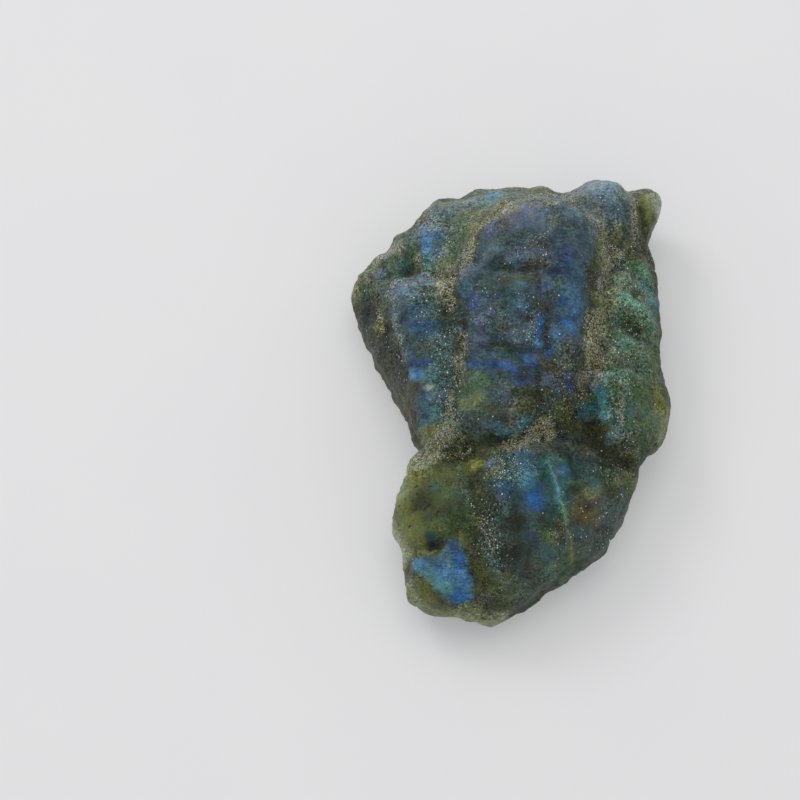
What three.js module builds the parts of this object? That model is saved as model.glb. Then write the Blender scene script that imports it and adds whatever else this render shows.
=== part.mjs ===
// A rough piece of labradorite, as it comes from the ground: one solid stone, in millimetres, +Z up.
//
// The surface is swept from one upright axis. Seen from above it fills the outline RIM, the widest line
// round the stone. Between the axis and that line the top follows a relief made of HILLS, BUMPS and FOLDS,
// and near the line a rounded shoulder takes it down to the rim. The underside curls in from the rim to a
// flat cleavage face at z = 0, on which the stone lies. Lumps and chips then push the skin in and out.

import * as THREE from 'three';
import { mergeVertices } from 'three/addons/utils/BufferGeometryUtils.js';

// ---- Driving dimensions, in millimetres ----

const AXIS = [1.0, -1.0]; // where the sweep's axis stands

const RIM = [ // the widest line round the stone, anticlockwise from the right: x, y and height
  [16.5, 2.6, 6.0], [16.5, 6.4, 6.0], [16.4, 10.8, 6.0], [16.1, 14.8, 6.2], [15.3, 18.1, 6.4],
  [16.1, 20.3, 6.6], [17.0, 22.5, 6.6], [16.4, 24.1, 6.4], [14.6, 24.5, 6.2], [13.3, 24.4, 6.0],
  [11.9, 25.1, 6.0], [9.9, 25.1, 6.0], [8.1, 24.7, 6.0], [6.7, 24.1, 6.0], [5.1, 24.2, 6.0],
  [3.6, 24.9, 6.0], [1.2, 24.4, 6.0], [-1.1, 24.5, 6.0], [-3.5, 24.2, 6.0], [-5.8, 23.3, 6.0],
  [-8.0, 22.8, 6.0], [-9.4, 21.3, 6.0], [-10.8, 19.7, 6.0], [-12.8, 18.9, 6.0], [-13.5, 17.2, 6.0],
  [-15.0, 16.4, 5.6], [-16.5, 15.4, 5.2], [-17.2, 13.9, 4.8], [-17.0, 11.7, 4.4], [-16.3, 8.9, 4.0],
  [-15.3, 6.3, 4.0], [-13.7, 3.3, 4.0], [-12.2, 0.4, 4.0], [-11.2, -2.2, 4.2], [-10.3, -4.8, 5.0],
  [-9.9, -6.2, 6.0], [-11.2, -7.5, 6.2], [-11.9, -9.3, 6.0], [-12.6, -11.3, 5.5], [-12.7, -14.2, 5.0],
  [-11.8, -16.4, 5.0], [-11.4, -19.4, 5.0], [-10.8, -22.1, 5.0], [-8.9, -23.3, 4.6], [-6.3, -23.9, 4.4],
  [-4.2, -24.3, 4.2], [-2.4, -24.5, 4.0], [-0.1, -23.4, 4.0], [2.3, -21.8, 4.0], [5.0, -19.9, 4.0],
  [8.1, -18.0, 4.2], [10.4, -16.5, 4.5], [11.6, -14.3, 5.0], [12.0, -11.4, 5.0], [13.0, -8.9, 5.2],
  [14.1, -6.8, 5.4], [15.8, -4.9, 5.4], [16.5, -2.7, 5.6], [16.8, -0.7, 6.0],
];

const SHOULDER = 4.5; // 2 would round the side like an egg, more makes it squarer
const UNDERCUT = 2.6; // the same for the underside
const BASE_DIP = 1.1; // how far the underside would bulge below the floor before it is cut flat
const BLEND = 0.45; // how softly one hill runs into the next

// Each hill is a plateau inside its outline: its height at `about`, how it leans per millimetre, the
// slope of its flanks, and the radius that rounds its edge.
const HILLS = [
  { name: 'valley floor', top: 11.1, about: [0, 0], lean: [-0.07, 0.07], fall: 1.3, round: 1.3, outline: [
    [-11.5, 11], [-10.4, 17], [-7, 20.5], [4, 22.3], [12.6, 22], [14.6, 14], [14.6, 0], [13, -8],
    [10, -14], [3, -19.5], [-3, -22], [-8, -21], [-11, -17], [-11.5, -12], [-9.8, -6], [-10.5, 0], [-11.5, 6]] },
  { name: 'crest', top: 15.7, about: [2, 8], lean: [0.04, 0.13], fall: 1.9, round: 0.8, outline: [
    [-3.0, 17.0], [-0.8, 18.9], [2.6, 19.6], [5.8, 19.2], [8.0, 16.9], [8.3, 12.5], [7.8, 7.9], [7.1, 3.3],
    [5.6, 0.0], [4.0, -3.4], [0.9, -5.4], [-3.6, -6.4], [-5.3, -5.4], [-5.5, -2.4], [-4.7, 1.0],
    [-5.3, 4.6], [-5.4, 8.4], [-4.8, 12.6]] },
  { name: 'left terrace', top: 12.4, about: [-9, 4], lean: [0.1, 0.06], fall: 1.55, round: 0.5, outline: [
    [-12.4, 11.3], [-10.9, 11.7], [-7.8, 11.9], [-5.6, 10.6], [-5.3, 5.6], [-5.6, -1.8], [-5.8, -5.4],
    [-7.9, -6.4], [-9.2, -5.6], [-10.3, -2.9], [-11.3, 3.3], [-12.0, 7.9]] },
  { name: 'far left slope', top: 11.7, about: [-7, 17], lean: [0.2, 0.12], fall: 1.7, round: 0.6, outline: [
    [-10.4, 18.4], [-7.8, 21.0], [-4.6, 21.3], [-3.2, 17.7], [-4.6, 13.7], [-7.3, 12.5], [-9.8, 13.4],
    [-10.8, 15.7]] },
  { name: 'left shoulder', top: 9.0, about: [-14, 13.5], lean: [0.1, 0], fall: 2.0, round: 0.5, outline: [
    [-16.8, 12.6], [-15.9, 14.2], [-13.8, 15.2], [-12.0, 15.6], [-11.9, 13.2], [-13.8, 12.4],
    [-15.6, 11.6]] },
  { name: 'left knob', top: 9.9, about: [-12.2, 16.8], lean: [0, 0], fall: 2.0, round: 0.6,
    outline: oval(-12.0, 16.7, 1.1, 1.5) },
  { name: 'far ledge', top: 11.4, about: [0, 22], lean: [0, -0.1], fall: 1.6, round: 0.5, outline: [
    [-6.0, 21.5], [-2.9, 22.7], [1.0, 22.6], [3.4, 23.2], [5.6, 22.4], [6.8, 21.1], [0.9, 20.7],
    [-3.4, 20.4]] },
  { name: 'far knob', top: 14.2, about: [9.8, 20.2], lean: [0, 0.05], fall: 1.9, round: 1.0,
    outline: oval(9.9, 20.2, 2.7, 2.9) },
  { name: 'corner knob', top: 10.8, about: [15.2, 21.5], lean: [-0.1, 0], fall: 1.8, round: 0.7,
    outline: oval(15.1, 21.4, 1.1, 2.0) },
  { name: 'right face', top: 12.4, about: [10.5, 5], lean: [-0.42, 0.03], fall: 1.7, round: 0.6, outline: [
    [10.4, 15.4], [14.8, 15.2], [15.6, 9.9], [15.6, 2.9], [16.2, -1.6], [15.2, -5.6], [13.0, -7.2],
    [10.4, -5.4], [9.5, -1.6], [10.2, 4.1], [10.5, 9.9]] },
  { name: 'near block', top: 12.5, about: [2, -11], lean: [-0.2, 0.2], fall: 1.7, round: 0.8, outline: [
    [-2.6, -8.3], [3.2, -7.2], [8.6, -8.2], [12.6, -10.0], [11.0, -15.0], [8.4, -17.6], [2.6, -21.0],
    [-1.4, -22.4], [-3.4, -19.0], [-3.6, -13.0]] },
  { name: 'near lobe', top: 11.3, about: [-7.6, -14.2], lean: [0, 0], fall: 1.7, round: 1.5,
    outline: oval(-8.0, -14.3, 3.7, 5.1) },
  { name: 'toe', top: 9.7, about: [-7.4, -19.6], lean: [0.05, 0.16], fall: 1.8, round: 1.0,
    outline: oval(-7.7, -20.2, 2.9, 3.0) },
];

// Bumps (positive) and pits (negative): x, y, radius, height.
const BUMPS = [
  [0.1, 9.5, 1.6, 0.7], [6.3, 7.6, 1.3, 0.5], [5.9, 4.6, 1.2, 0.6], [-0.8, 1.0, 1.5, 0.6],
  [-3.6, 7.6, 1.7, 0.5], [2.3, 16.4, 2.4, 0.7], [-2.2, 13.6, 1.6, 0.5], [-3.6, -2.0, 1.6, 0.5],
  [4.3, -2.2, 1.6, -1.2], [-6.7, 8.2, 1.2, -1.3], [-11.2, 13.7, 1.1, -1.4], [8.2, -5.4, 1.9, -1.2],
  [-6.3, -8.0, 1.6, -0.8], [10.9, 16.3, 1.3, -0.7], [-3.9, -17.0, 1.5, -1.0], [7.5, -12.4, 1.5, 0.6],
  [2.4, -10.8, 1.9, 0.6], [12.2, 0.6, 1.6, 0.5], [12.0, 9.6, 1.3, 0.5], [-8.6, -17.6, 0.8, -0.5],
];

// Ridges (positive) and grooves (negative) along a line: height, half width, points.
const FOLDS = [
  { height: -0.5, width: 0.9, line: [[-1.4, 12.1], [0.8, 11.2], [2.8, 11.7]] },
  { height: -0.4, width: 0.9, line: [[4.4, 11.2], [6.2, 10.4], [7.6, 10.6]] },
  { height: -0.4, width: 0.8, line: [[3.0, 9.4], [3.6, 6.2], [3.2, 2.4]] },
  { height: -0.5, width: 0.8, line: [[-4.6, 2.6], [-1.6, 3.6], [1.8, 2.6]] },
  { height: -0.7, width: 0.8, line: [[10.6, 8.1], [12.6, 6.7], [15.2, 4.9]] },
  { height: 0.5, width: 0.8, line: [[10.8, 10.4], [13.0, 9.1], [15.4, 7.6]] },
  { height: -0.5, width: 0.8, line: [[10.0, 4.4], [12.2, 3.0], [15.0, 0.9]] },
  { height: -0.6, width: 0.8, line: [[11.0, 14.2], [13.2, 13.4], [15.0, 12.2]] },
  { height: 0.8, width: 0.7, line: [[13.6, 22.4], [13.6, 19.6], [13.9, 16.8]] },
  { height: 0.7, width: 0.8, line: [[-14.6, 12.2], [-13.8, 9.2], [-12.2, 4.8]] },
  { height: -0.6, width: 0.7, line: [[-10.9, 12.0], [-8.6, 12.4], [-6.2, 11.9]] },
  { height: 0.2, width: 0.9, line: [[3.4, -8.4], [4.4, -11.8], [5.6, -15.4]] },
  { height: -0.5, width: 0.8, line: [[6.8, -8.6], [7.0, -12.0], [9.2, -15.0]] },
  { height: -0.5, width: 0.8, line: [[-0.6, -12.6], [0.6, -16.0], [-0.6, -20.6]] },
  { height: -0.5, width: 0.8, line: [[-11.9, -17.4], [-9.6, -17.5], [-6.4, -16.6]] },
];

// Skin relief: the size and depth of each layer of lumps, and of the rounded chips with creases between.
const LUMPS = [{ size: 5.2, depth: 0.5 }, { size: 2.3, depth: 0.25 }];
const CHIPS = { size: 3.1, depth: 0.7 };
const GRAIN_LINES = { spacing: 1.6, depth: 0.2, fromX: -12.4, fade: 1.2 }; // upright lines, left side

const DETAIL = 21; // how often each edge of the starting icosahedron is divided

// ---- Small helpers ----

// A hill's outline as an upright oval of twelve points: its centre and its two radii.
function oval(x, y, rx, ry) {
  return Array.from({ length: 12 }, (_, i) => {
    const turn = (i / 12) * 2 * Math.PI;
    return [x + rx * Math.cos(turn), y + ry * Math.sin(turn)];
  });
}

// A fixed random number from 0 to 1 for each whole-number place.
function chance(i, j, k) {
  const wave = Math.sin(i * 127.1 + j * 311.7 + k * 74.7) * 43758.5453;
  return wave - Math.floor(wave);
}

// Smooth noise from -1 to 1: chance at the eight corners of a unit cell, blended across it.
function noise(x, y, z) {
  const cell = [x, y, z].map(Math.floor);
  const [fx, fy, fz] = [x - cell[0], y - cell[1], z - cell[2]].map((f) => f * f * (3 - 2 * f));
  let sum = 0;
  for (const dx of [0, 1]) {
    for (const dy of [0, 1]) {
      for (const dz of [0, 1]) {
        const weight = (dx ? fx : 1 - fx) * (dy ? fy : 1 - fy) * (dz ? fz : 1 - fz);
        sum += weight * chance(cell[0] + dx, cell[1] + dy, cell[2] + dz);
      }
    }
  }
  return 2 * sum - 1;
}

// Distance to the nearest of the scattered cell points, one in each unit cell.
function nearestSeed(x, y, z) {
  const cell = [x, y, z].map(Math.floor);
  let nearest = Infinity;
  for (const dx of [-1, 0, 1]) {
    for (const dy of [-1, 0, 1]) {
      for (const dz of [-1, 0, 1]) {
        const [i, j, k] = [cell[0] + dx, cell[1] + dy, cell[2] + dz];
        const seed = [i + chance(i, j, k), j + chance(j, k, i + 9), k + chance(k, i, j + 5)];
        nearest = Math.min(nearest, Math.hypot(x - seed[0], y - seed[1], z - seed[2]));
      }
    }
  }
  return nearest;
}

// Distance from (x, y) to the segment from a to b.
function distanceToSegment(x, y, a, b) {
  const [ex, ey] = [b[0] - a[0], b[1] - a[1]];
  const along = THREE.MathUtils.clamp(((x - a[0]) * ex + (y - a[1]) * ey) / (ex * ex + ey * ey), 0, 1);
  return Math.hypot(x - a[0] - along * ex, y - a[1] - along * ey);
}

// Distance from (x, y) to a closed outline: positive outside it, negative inside.
function distanceOutside(x, y, outline) {
  let distance = Infinity;
  let inside = false;
  outline.forEach((a, i) => {
    const b = outline[(i + 1) % outline.length];
    distance = Math.min(distance, distanceToSegment(x, y, a, b));
    const crosses = (a[1] > y) !== (b[1] > y);
    if (crosses && x < a[0] + ((y - a[1]) / (b[1] - a[1])) * (b[0] - a[0])) inside = !inside;
  });
  return inside ? -distance : distance;
}

// ---- The stone's form ----

// Height of the top at (x, y), before the shoulder rounds it: the softly joined hills, then their details.
function reliefHeight(x, y) {
  let joined = 0;
  for (const hill of HILLS) {
    const plateau = hill.top + hill.lean[0] * (x - hill.about[0]) + hill.lean[1] * (y - hill.about[1]);
    const outside = distanceOutside(x, y, hill.outline);
    const flank = hill.fall * hill.round * Math.log1p(Math.exp(outside / hill.round));
    joined += Math.exp((plateau - flank) / BLEND);
  }
  let height = BLEND * Math.log(joined);
  for (const [cx, cy, radius, rise] of BUMPS) {
    height += rise * Math.exp(-((x - cx) ** 2 + (y - cy) ** 2) / (radius * radius));
  }
  for (const fold of FOLDS) {
    let distance = Infinity;
    for (let i = 1; i < fold.line.length; i += 1) {
      distance = Math.min(distance, distanceToSegment(x, y, fold.line[i - 1], fold.line[i]));
    }
    height += fold.height * Math.exp(-((distance / fold.width) ** 2));
  }
  return height;
}

const rimCurve = new THREE.CatmullRomCurve3(RIM.map((p) => new THREE.Vector3(...p)), true, 'catmullrom', 0.5);

// How far the skin stands out at a point: lumps of two sizes, chips, and lines on the left side.
function skinRelief(x, y, z) {
  let out = 0;
  for (const { size, depth } of LUMPS) out += depth * noise(x / size, y / size, z / size);
  const chip = nearestSeed(x / CHIPS.size, y / CHIPS.size, z / CHIPS.size);
  out += CHIPS.depth * (0.3 - chip * chip);
  const onLeftSide = 1 / (1 + Math.exp((x - GRAIN_LINES.fromX) / (0.25 * GRAIN_LINES.fade)));
  const lines = noise((x + y) / GRAIN_LINES.spacing, (y - x) / GRAIN_LINES.spacing, z / 9);
  return out + onLeftSide * GRAIN_LINES.depth * lines;
}

// The surface point for a direction on the unit sphere.
function surfacePoint(direction) {
  const around = Math.atan2(direction.y, direction.x) / (2 * Math.PI);
  const rim = rimCurve.getPoint(around - Math.floor(around));
  const polar = Math.acos(THREE.MathUtils.clamp(Math.abs(direction.z), 0, 1));
  const power = direction.z >= 0 ? SHOULDER : UNDERCUT;
  const size = (Math.sin(polar) ** power + Math.cos(polar) ** power) ** (1 / power);
  const outward = Math.sin(polar) / size;
  const upward = Math.cos(polar) / size;

  const x = AXIS[0] + outward * (rim.x - AXIS[0]);
  const y = AXIS[1] + outward * (rim.y - AXIS[1]);
  const rise = direction.z >= 0 ? reliefHeight(x, y) - rim.z : -(rim.z + BASE_DIP);
  const z = rim.z + rise * upward;

  const facing = new THREE.Vector3(rim.x - AXIS[0], rim.y - AXIS[1], 0).setLength(outward ** (power - 1));
  facing.z = Math.sign(direction.z) * upward ** (power - 1);
  facing.normalize().multiplyScalar(skinRelief(x, y, z));
  return new THREE.Vector3(x, y, z).add(facing);
}

function makeStone() {
  let geometry = new THREE.IcosahedronGeometry(1, DETAIL);
  geometry.deleteAttribute('normal');
  geometry.deleteAttribute('uv');
  geometry = mergeVertices(geometry, 1e-6);
  const positions = geometry.attributes.position;
  for (let i = 0; i < positions.count; i += 1) {
    const point = surfacePoint(new THREE.Vector3().fromBufferAttribute(positions, i));
    positions.setXYZ(i, point.x, point.y, Math.max(point.z, 0));
  }
  geometry.computeBoundingBox();
  const middle = geometry.boundingBox.getCenter(new THREE.Vector3());
  geometry.translate(-middle.x, -middle.y, 0); // the origin is under the middle of the stone's box
  geometry.computeVertexNormals();
  const material = new THREE.MeshStandardMaterial({ color: 0x4a5d5c, roughness: 0.5, metalness: 0 });
  const stone = new THREE.Mesh(geometry, material);
  stone.name = 'labradorite_stone';
  return stone;
}

const labradorite = new THREE.Group();
labradorite.add(makeStone());

export default labradorite;
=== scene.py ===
"""A rough piece of labradorite lying on a plain pale floor.

The stone is one closed surface worked out with numpy in millimetres and put into the mesh in metres. It is
the same sweep as the solid that it stands for, with finer lumps, chips and creases added. Its mesh carries
the attributes that its material reads: the colour of the feldspar, with painted shade in its troughs and
painted light on its edges, its far slopes and along parts of its rim; where it is crushed to grains or
dusted with them, where it flashes, where it is waxy, where dark grains sit in it, and the distance to its
pale vein. Loose grains are scattered over the crushed places as a second piece.
"""

import math

import bpy
import numpy as np
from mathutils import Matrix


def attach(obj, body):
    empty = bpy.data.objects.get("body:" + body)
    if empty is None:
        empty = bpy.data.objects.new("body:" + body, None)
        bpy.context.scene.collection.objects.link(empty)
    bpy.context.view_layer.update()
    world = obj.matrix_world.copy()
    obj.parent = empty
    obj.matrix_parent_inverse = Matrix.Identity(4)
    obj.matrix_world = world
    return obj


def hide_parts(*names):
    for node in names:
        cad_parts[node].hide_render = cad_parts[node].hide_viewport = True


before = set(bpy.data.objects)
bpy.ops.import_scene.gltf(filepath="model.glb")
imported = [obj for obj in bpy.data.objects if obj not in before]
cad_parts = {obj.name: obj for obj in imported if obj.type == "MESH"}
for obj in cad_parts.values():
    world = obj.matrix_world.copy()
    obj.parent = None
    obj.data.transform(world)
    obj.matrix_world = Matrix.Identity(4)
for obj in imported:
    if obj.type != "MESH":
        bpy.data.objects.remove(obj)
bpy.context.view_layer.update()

MM = 0.001  # one millimetre in metres

# ---- The stone's own dimensions, in millimetres, as in the solid ----

AXIS = np.array([1.0, -1.0])  # where the sweep's axis stands
MIDDLE = np.array([-0.13, 0.42])  # the middle of the stone's box, which becomes the origin

RIM = np.array([  # the widest line round the stone, anticlockwise from the right: x, y and height
    [16.5, 2.6, 6.0], [16.5, 6.4, 6.0], [16.4, 10.8, 6.0], [16.1, 14.8, 6.2], [15.3, 18.1, 6.4],
    [16.1, 20.3, 6.6], [17.0, 22.5, 6.6], [16.4, 24.1, 6.4], [14.6, 24.5, 6.2], [13.3, 24.4, 6.0],
    [11.9, 25.1, 6.0], [9.9, 25.1, 6.0], [8.1, 24.7, 6.0], [6.7, 24.1, 6.0], [5.1, 24.2, 6.0],
    [3.6, 24.9, 6.0], [1.2, 24.4, 6.0], [-1.1, 24.5, 6.0], [-3.5, 24.2, 6.0], [-5.8, 23.3, 6.0],
    [-8.0, 22.8, 6.0], [-9.4, 21.3, 6.0], [-10.8, 19.7, 6.0], [-12.8, 18.9, 6.0], [-13.5, 17.2, 6.0],
    [-15.0, 16.4, 5.6], [-16.5, 15.4, 5.2], [-17.2, 13.9, 4.8], [-17.0, 11.7, 4.4], [-16.3, 8.9, 4.0],
    [-15.3, 6.3, 4.0], [-13.7, 3.3, 4.0], [-12.2, 0.4, 4.0], [-11.2, -2.2, 4.2], [-10.3, -4.8, 5.0],
    [-9.9, -6.2, 6.0], [-11.2, -7.5, 6.2], [-11.9, -9.3, 6.0], [-12.6, -11.3, 5.5], [-12.7, -14.2, 5.0],
    [-11.8, -16.4, 5.0], [-11.4, -19.4, 5.0], [-10.8, -22.1, 5.0], [-8.9, -23.3, 4.6], [-6.3, -23.9, 4.4],
    [-4.2, -24.3, 4.2], [-2.4, -24.5, 4.0], [-0.1, -23.4, 4.0], [2.3, -21.8, 4.0], [5.0, -19.9, 4.0],
    [8.1, -18.0, 4.2], [10.4, -16.5, 4.5], [11.6, -14.3, 5.0], [12.0, -11.4, 5.0], [13.0, -8.9, 5.2],
    [14.1, -6.8, 5.4], [15.8, -4.9, 5.4], [16.5, -2.7, 5.6], [16.8, -0.7, 6.0],
])

SHOULDER = 4.5  # 2 would round the side like an egg, more makes it squarer
UNDERCUT = 2.6  # the same for the underside
TOP_RINGS = (20, 8, 1)  # how rings are spread: a usual reach and height, and how much the middle counts
UNDERSIDE_RINGS = (20, 6, 0.3)
BASE_DIP = 1.1  # how far the underside would bulge below the floor before it is cut flat
BLEND = 0.45  # how softly one hill runs into the next


def oval(x, y, rx, ry):
    """An upright oval of twelve points: its centre and its two radii."""
    turns = np.arange(12) / 12 * 2 * math.pi
    return np.stack([x + rx * np.cos(turns), y + ry * np.sin(turns)], axis=1).tolist()


# Each hill: its height at `about`, how it leans per millimetre, the slope of its flanks, the radius that
# rounds its edge, the colour of its feldspar, and its outline.
HILLS = [
    {"name": "valley floor", "top": 11.1, "about": (0, 0), "lean": (-0.07, 0.07), "fall": 1.3, "round": 1.3,
     "colour": "dark olive", "outline": [
        [-11.5, 11], [-10.4, 17], [-7, 20.5], [4, 22.3], [12.6, 22], [14.6, 14], [14.6, 0], [13, -8],
        [10, -14], [3, -19.5], [-3, -22], [-8, -21], [-11, -17], [-11.5, -12], [-9.8, -6], [-10.5, 0],
        [-11.5, 6]]},
    {"name": "crest", "top": 15.7, "about": (2, 8), "lean": (0.04, 0.13), "fall": 1.9, "round": 0.8,
     "colour": "slate", "outline": [
        [-3.0, 17.0], [-0.8, 18.9], [2.6, 19.6], [5.8, 19.2], [8.0, 16.9], [8.3, 12.5], [7.8, 7.9],
        [7.1, 3.3], [5.6, 0.0], [4.0, -3.4], [0.9, -5.4], [-3.6, -6.4], [-5.3, -5.4], [-5.5, -2.4],
        [-4.7, 1.0], [-5.3, 4.6], [-5.4, 8.4], [-4.8, 12.6]]},
    {"name": "left terrace", "top": 12.4, "about": (-9, 4), "lean": (0.1, 0.06), "fall": 1.55, "round": 0.5,
     "colour": "slate green", "outline": [
        [-12.4, 11.3], [-10.9, 11.7], [-7.8, 11.9], [-5.6, 10.6], [-5.3, 5.6], [-5.6, -1.8], [-5.8, -5.4],
        [-7.9, -6.4], [-9.2, -5.6], [-10.3, -2.9], [-11.3, 3.3], [-12.0, 7.9]]},
    {"name": "far left slope", "top": 11.7, "about": (-7, 17), "lean": (0.2, 0.12), "fall": 1.7,
     "round": 0.6, "colour": "grey green", "outline": [
        [-10.4, 18.4], [-7.8, 21.0], [-4.6, 21.3], [-3.2, 17.7], [-4.6, 13.7], [-7.3, 12.5], [-9.8, 13.4],
        [-10.8, 15.7]]},
    {"name": "left shoulder", "top": 9.0, "about": (-14, 13.5), "lean": (0.1, 0), "fall": 2.0, "round": 0.5,
     "colour": "dark green", "outline": [
        [-16.8, 12.6], [-15.9, 14.2], [-13.8, 15.2], [-12.0, 15.6], [-11.9, 13.2], [-13.8, 12.4],
        [-15.6, 11.6]]},
    {"name": "left knob", "top": 9.9, "about": (-12.2, 16.8), "lean": (0, 0), "fall": 2.0, "round": 0.6,
     "colour": "grey green", "outline": oval(-12.0, 16.7, 1.1, 1.5)},
    {"name": "far ledge", "top": 11.4, "about": (0, 22), "lean": (0, -0.1), "fall": 1.6, "round": 0.5,
     "colour": "grey green", "outline": [
        [-6.0, 21.5], [-2.9, 22.7], [1.0, 22.6], [3.4, 23.2], [5.6, 22.4], [6.8, 21.1], [0.9, 20.7],
        [-3.4, 20.4]]},
    {"name": "far knob", "top": 14.2, "about": (9.8, 20.2), "lean": (0, 0.05), "fall": 1.9, "round": 1.0,
     "colour": "haze", "outline": oval(9.9, 20.2, 2.7, 2.9)},
    {"name": "corner knob", "top": 10.8, "about": (15.2, 21.5), "lean": (-0.1, 0), "fall": 1.8,
     "round": 0.7, "colour": "olive", "outline": oval(15.1, 21.4, 1.1, 2.0)},
    {"name": "right face", "top": 12.4, "about": (10.5, 5), "lean": (-0.42, 0.03), "fall": 1.7,
     "round": 0.6, "colour": "grey green", "outline": [
        [10.4, 15.4], [14.8, 15.2], [15.6, 9.9], [15.6, 2.9], [16.2, -1.6], [15.2, -5.6], [13.0, -7.2],
        [10.4, -5.4], [9.5, -1.6], [10.2, 4.1], [10.5, 9.9]]},
    {"name": "near block", "top": 12.5, "about": (2, -11), "lean": (-0.2, 0.2), "fall": 1.7, "round": 0.8,
     "colour": "slate green", "outline": [
        [-2.6, -8.3], [3.2, -7.2], [8.6, -8.2], [12.6, -10.0], [11.0, -15.0], [8.4, -17.6], [2.6, -21.0],
        [-1.4, -22.4], [-3.4, -19.0], [-3.6, -13.0]]},
    {"name": "near lobe", "top": 11.3, "about": (-7.6, -14.2), "lean": (0, 0), "fall": 1.7, "round": 1.5,
     "colour": "olive", "outline": oval(-8.0, -14.3, 3.7, 5.1)},
    {"name": "toe", "top": 9.7, "about": (-7.4, -19.6), "lean": (0.05, 0.16), "fall": 1.8, "round": 1.0,
     "colour": "dark olive", "outline": oval(-7.7, -20.2, 2.9, 3.0)},
]

# Bumps (positive) and pits (negative): x, y, radius, height.
BUMPS = [
    (0.1, 9.5, 1.6, 0.7), (6.3, 7.6, 1.3, 0.5), (5.9, 4.6, 1.2, 0.6), (-0.8, 1.0, 1.5, 0.6),
    (-3.6, 7.6, 1.7, 0.5), (2.3, 16.4, 2.4, 0.7), (-2.2, 13.6, 1.6, 0.5), (-3.6, -2.0, 1.6, 0.5),
    (4.3, -2.2, 1.6, -1.2), (-6.7, 8.2, 1.2, -1.3), (-11.2, 13.7, 1.1, -1.4), (8.2, -5.4, 1.9, -1.2),
    (-6.3, -8.0, 1.6, -0.8), (10.9, 16.3, 1.3, -0.7), (-3.9, -17.0, 1.5, -1.0), (7.5, -12.4, 1.5, 0.6),
    (2.4, -10.8, 1.9, 0.6), (12.2, 0.6, 1.6, 0.5), (12.0, 9.6, 1.3, 0.5), (-8.6, -17.6, 0.8, -0.5),
]

# Ridges (positive) and grooves (negative) along a line: height, half width, points.
FOLDS = [
    (-0.5, 0.9, [(-1.4, 12.1), (0.8, 11.2), (2.8, 11.7)]),
    (-0.4, 0.9, [(4.4, 11.2), (6.2, 10.4), (7.6, 10.6)]),
    (-0.4, 0.8, [(3.0, 9.4), (3.6, 6.2), (3.2, 2.4)]),
    (-0.5, 0.8, [(-4.6, 2.6), (-1.6, 3.6), (1.8, 2.6)]),
    (-0.7, 0.8, [(10.6, 8.1), (12.6, 6.7), (15.2, 4.9)]),
    (0.5, 0.8, [(10.8, 10.4), (13.0, 9.1), (15.4, 7.6)]),
    (-0.5, 0.8, [(10.0, 4.4), (12.2, 3.0), (15.0, 0.9)]),
    (-0.6, 0.8, [(11.0, 14.2), (13.2, 13.4), (15.0, 12.2)]),
    (0.8, 0.7, [(13.6, 22.4), (13.6, 19.6), (13.9, 16.8)]),
    (0.7, 0.8, [(-14.6, 12.2), (-13.8, 9.2), (-12.2, 4.8)]),
    (-0.6, 0.7, [(-10.9, 12.0), (-8.6, 12.4), (-6.2, 11.9)]),
    (0.2, 0.9, [(3.4, -8.4), (4.4, -11.8), (5.6, -15.4)]),
    (-0.5, 0.8, [(6.8, -8.6), (7.0, -12.0), (9.2, -15.0)]),
    (-0.5, 0.8, [(-0.6, -12.6), (0.6, -16.0), (-0.6, -20.6)]),
    (-0.5, 0.8, [(-11.9, -17.4), (-9.6, -17.5), (-6.4, -16.6)]),
]

LUMPS = [(5.2, 0.5), (2.3, 0.25)]  # size and depth of each layer of lumps
CHIPS = (3.1, 0.7)  # size and depth of the rounded chips with creases between them
GRAIN_LINES = {"spacing": 1.6, "depth": 0.2, "from_x": -12.4, "fade": 1.2}  # upright lines, left side

# ---- Finer relief, which only this surface has, in millimetres ----

GRID = 224  # places along each side of the top's grid and the underside's
FINE_LUMPS = [(1.1, 0.1), (0.55, 0.05)]  # size and depth
FINE_CHIPS = [(1.5, 0.14), (0.8, 0.05)]
STEPS = {"spacing": 1.1, "depth": 0.1, "across": (0.53, 0.85, 0.3), "patch": 3.2}  # cleavage steps
SIDE_LINES = {"spacing": 0.5, "depth": 0.07, "length": 5.0}  # fine upright lines on the left side

GRAIN_COUNT = 10000  # loose crushed grains
GRAIN_SIZE = (0.04, 0.115)  # half the length of the smallest and the largest

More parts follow.
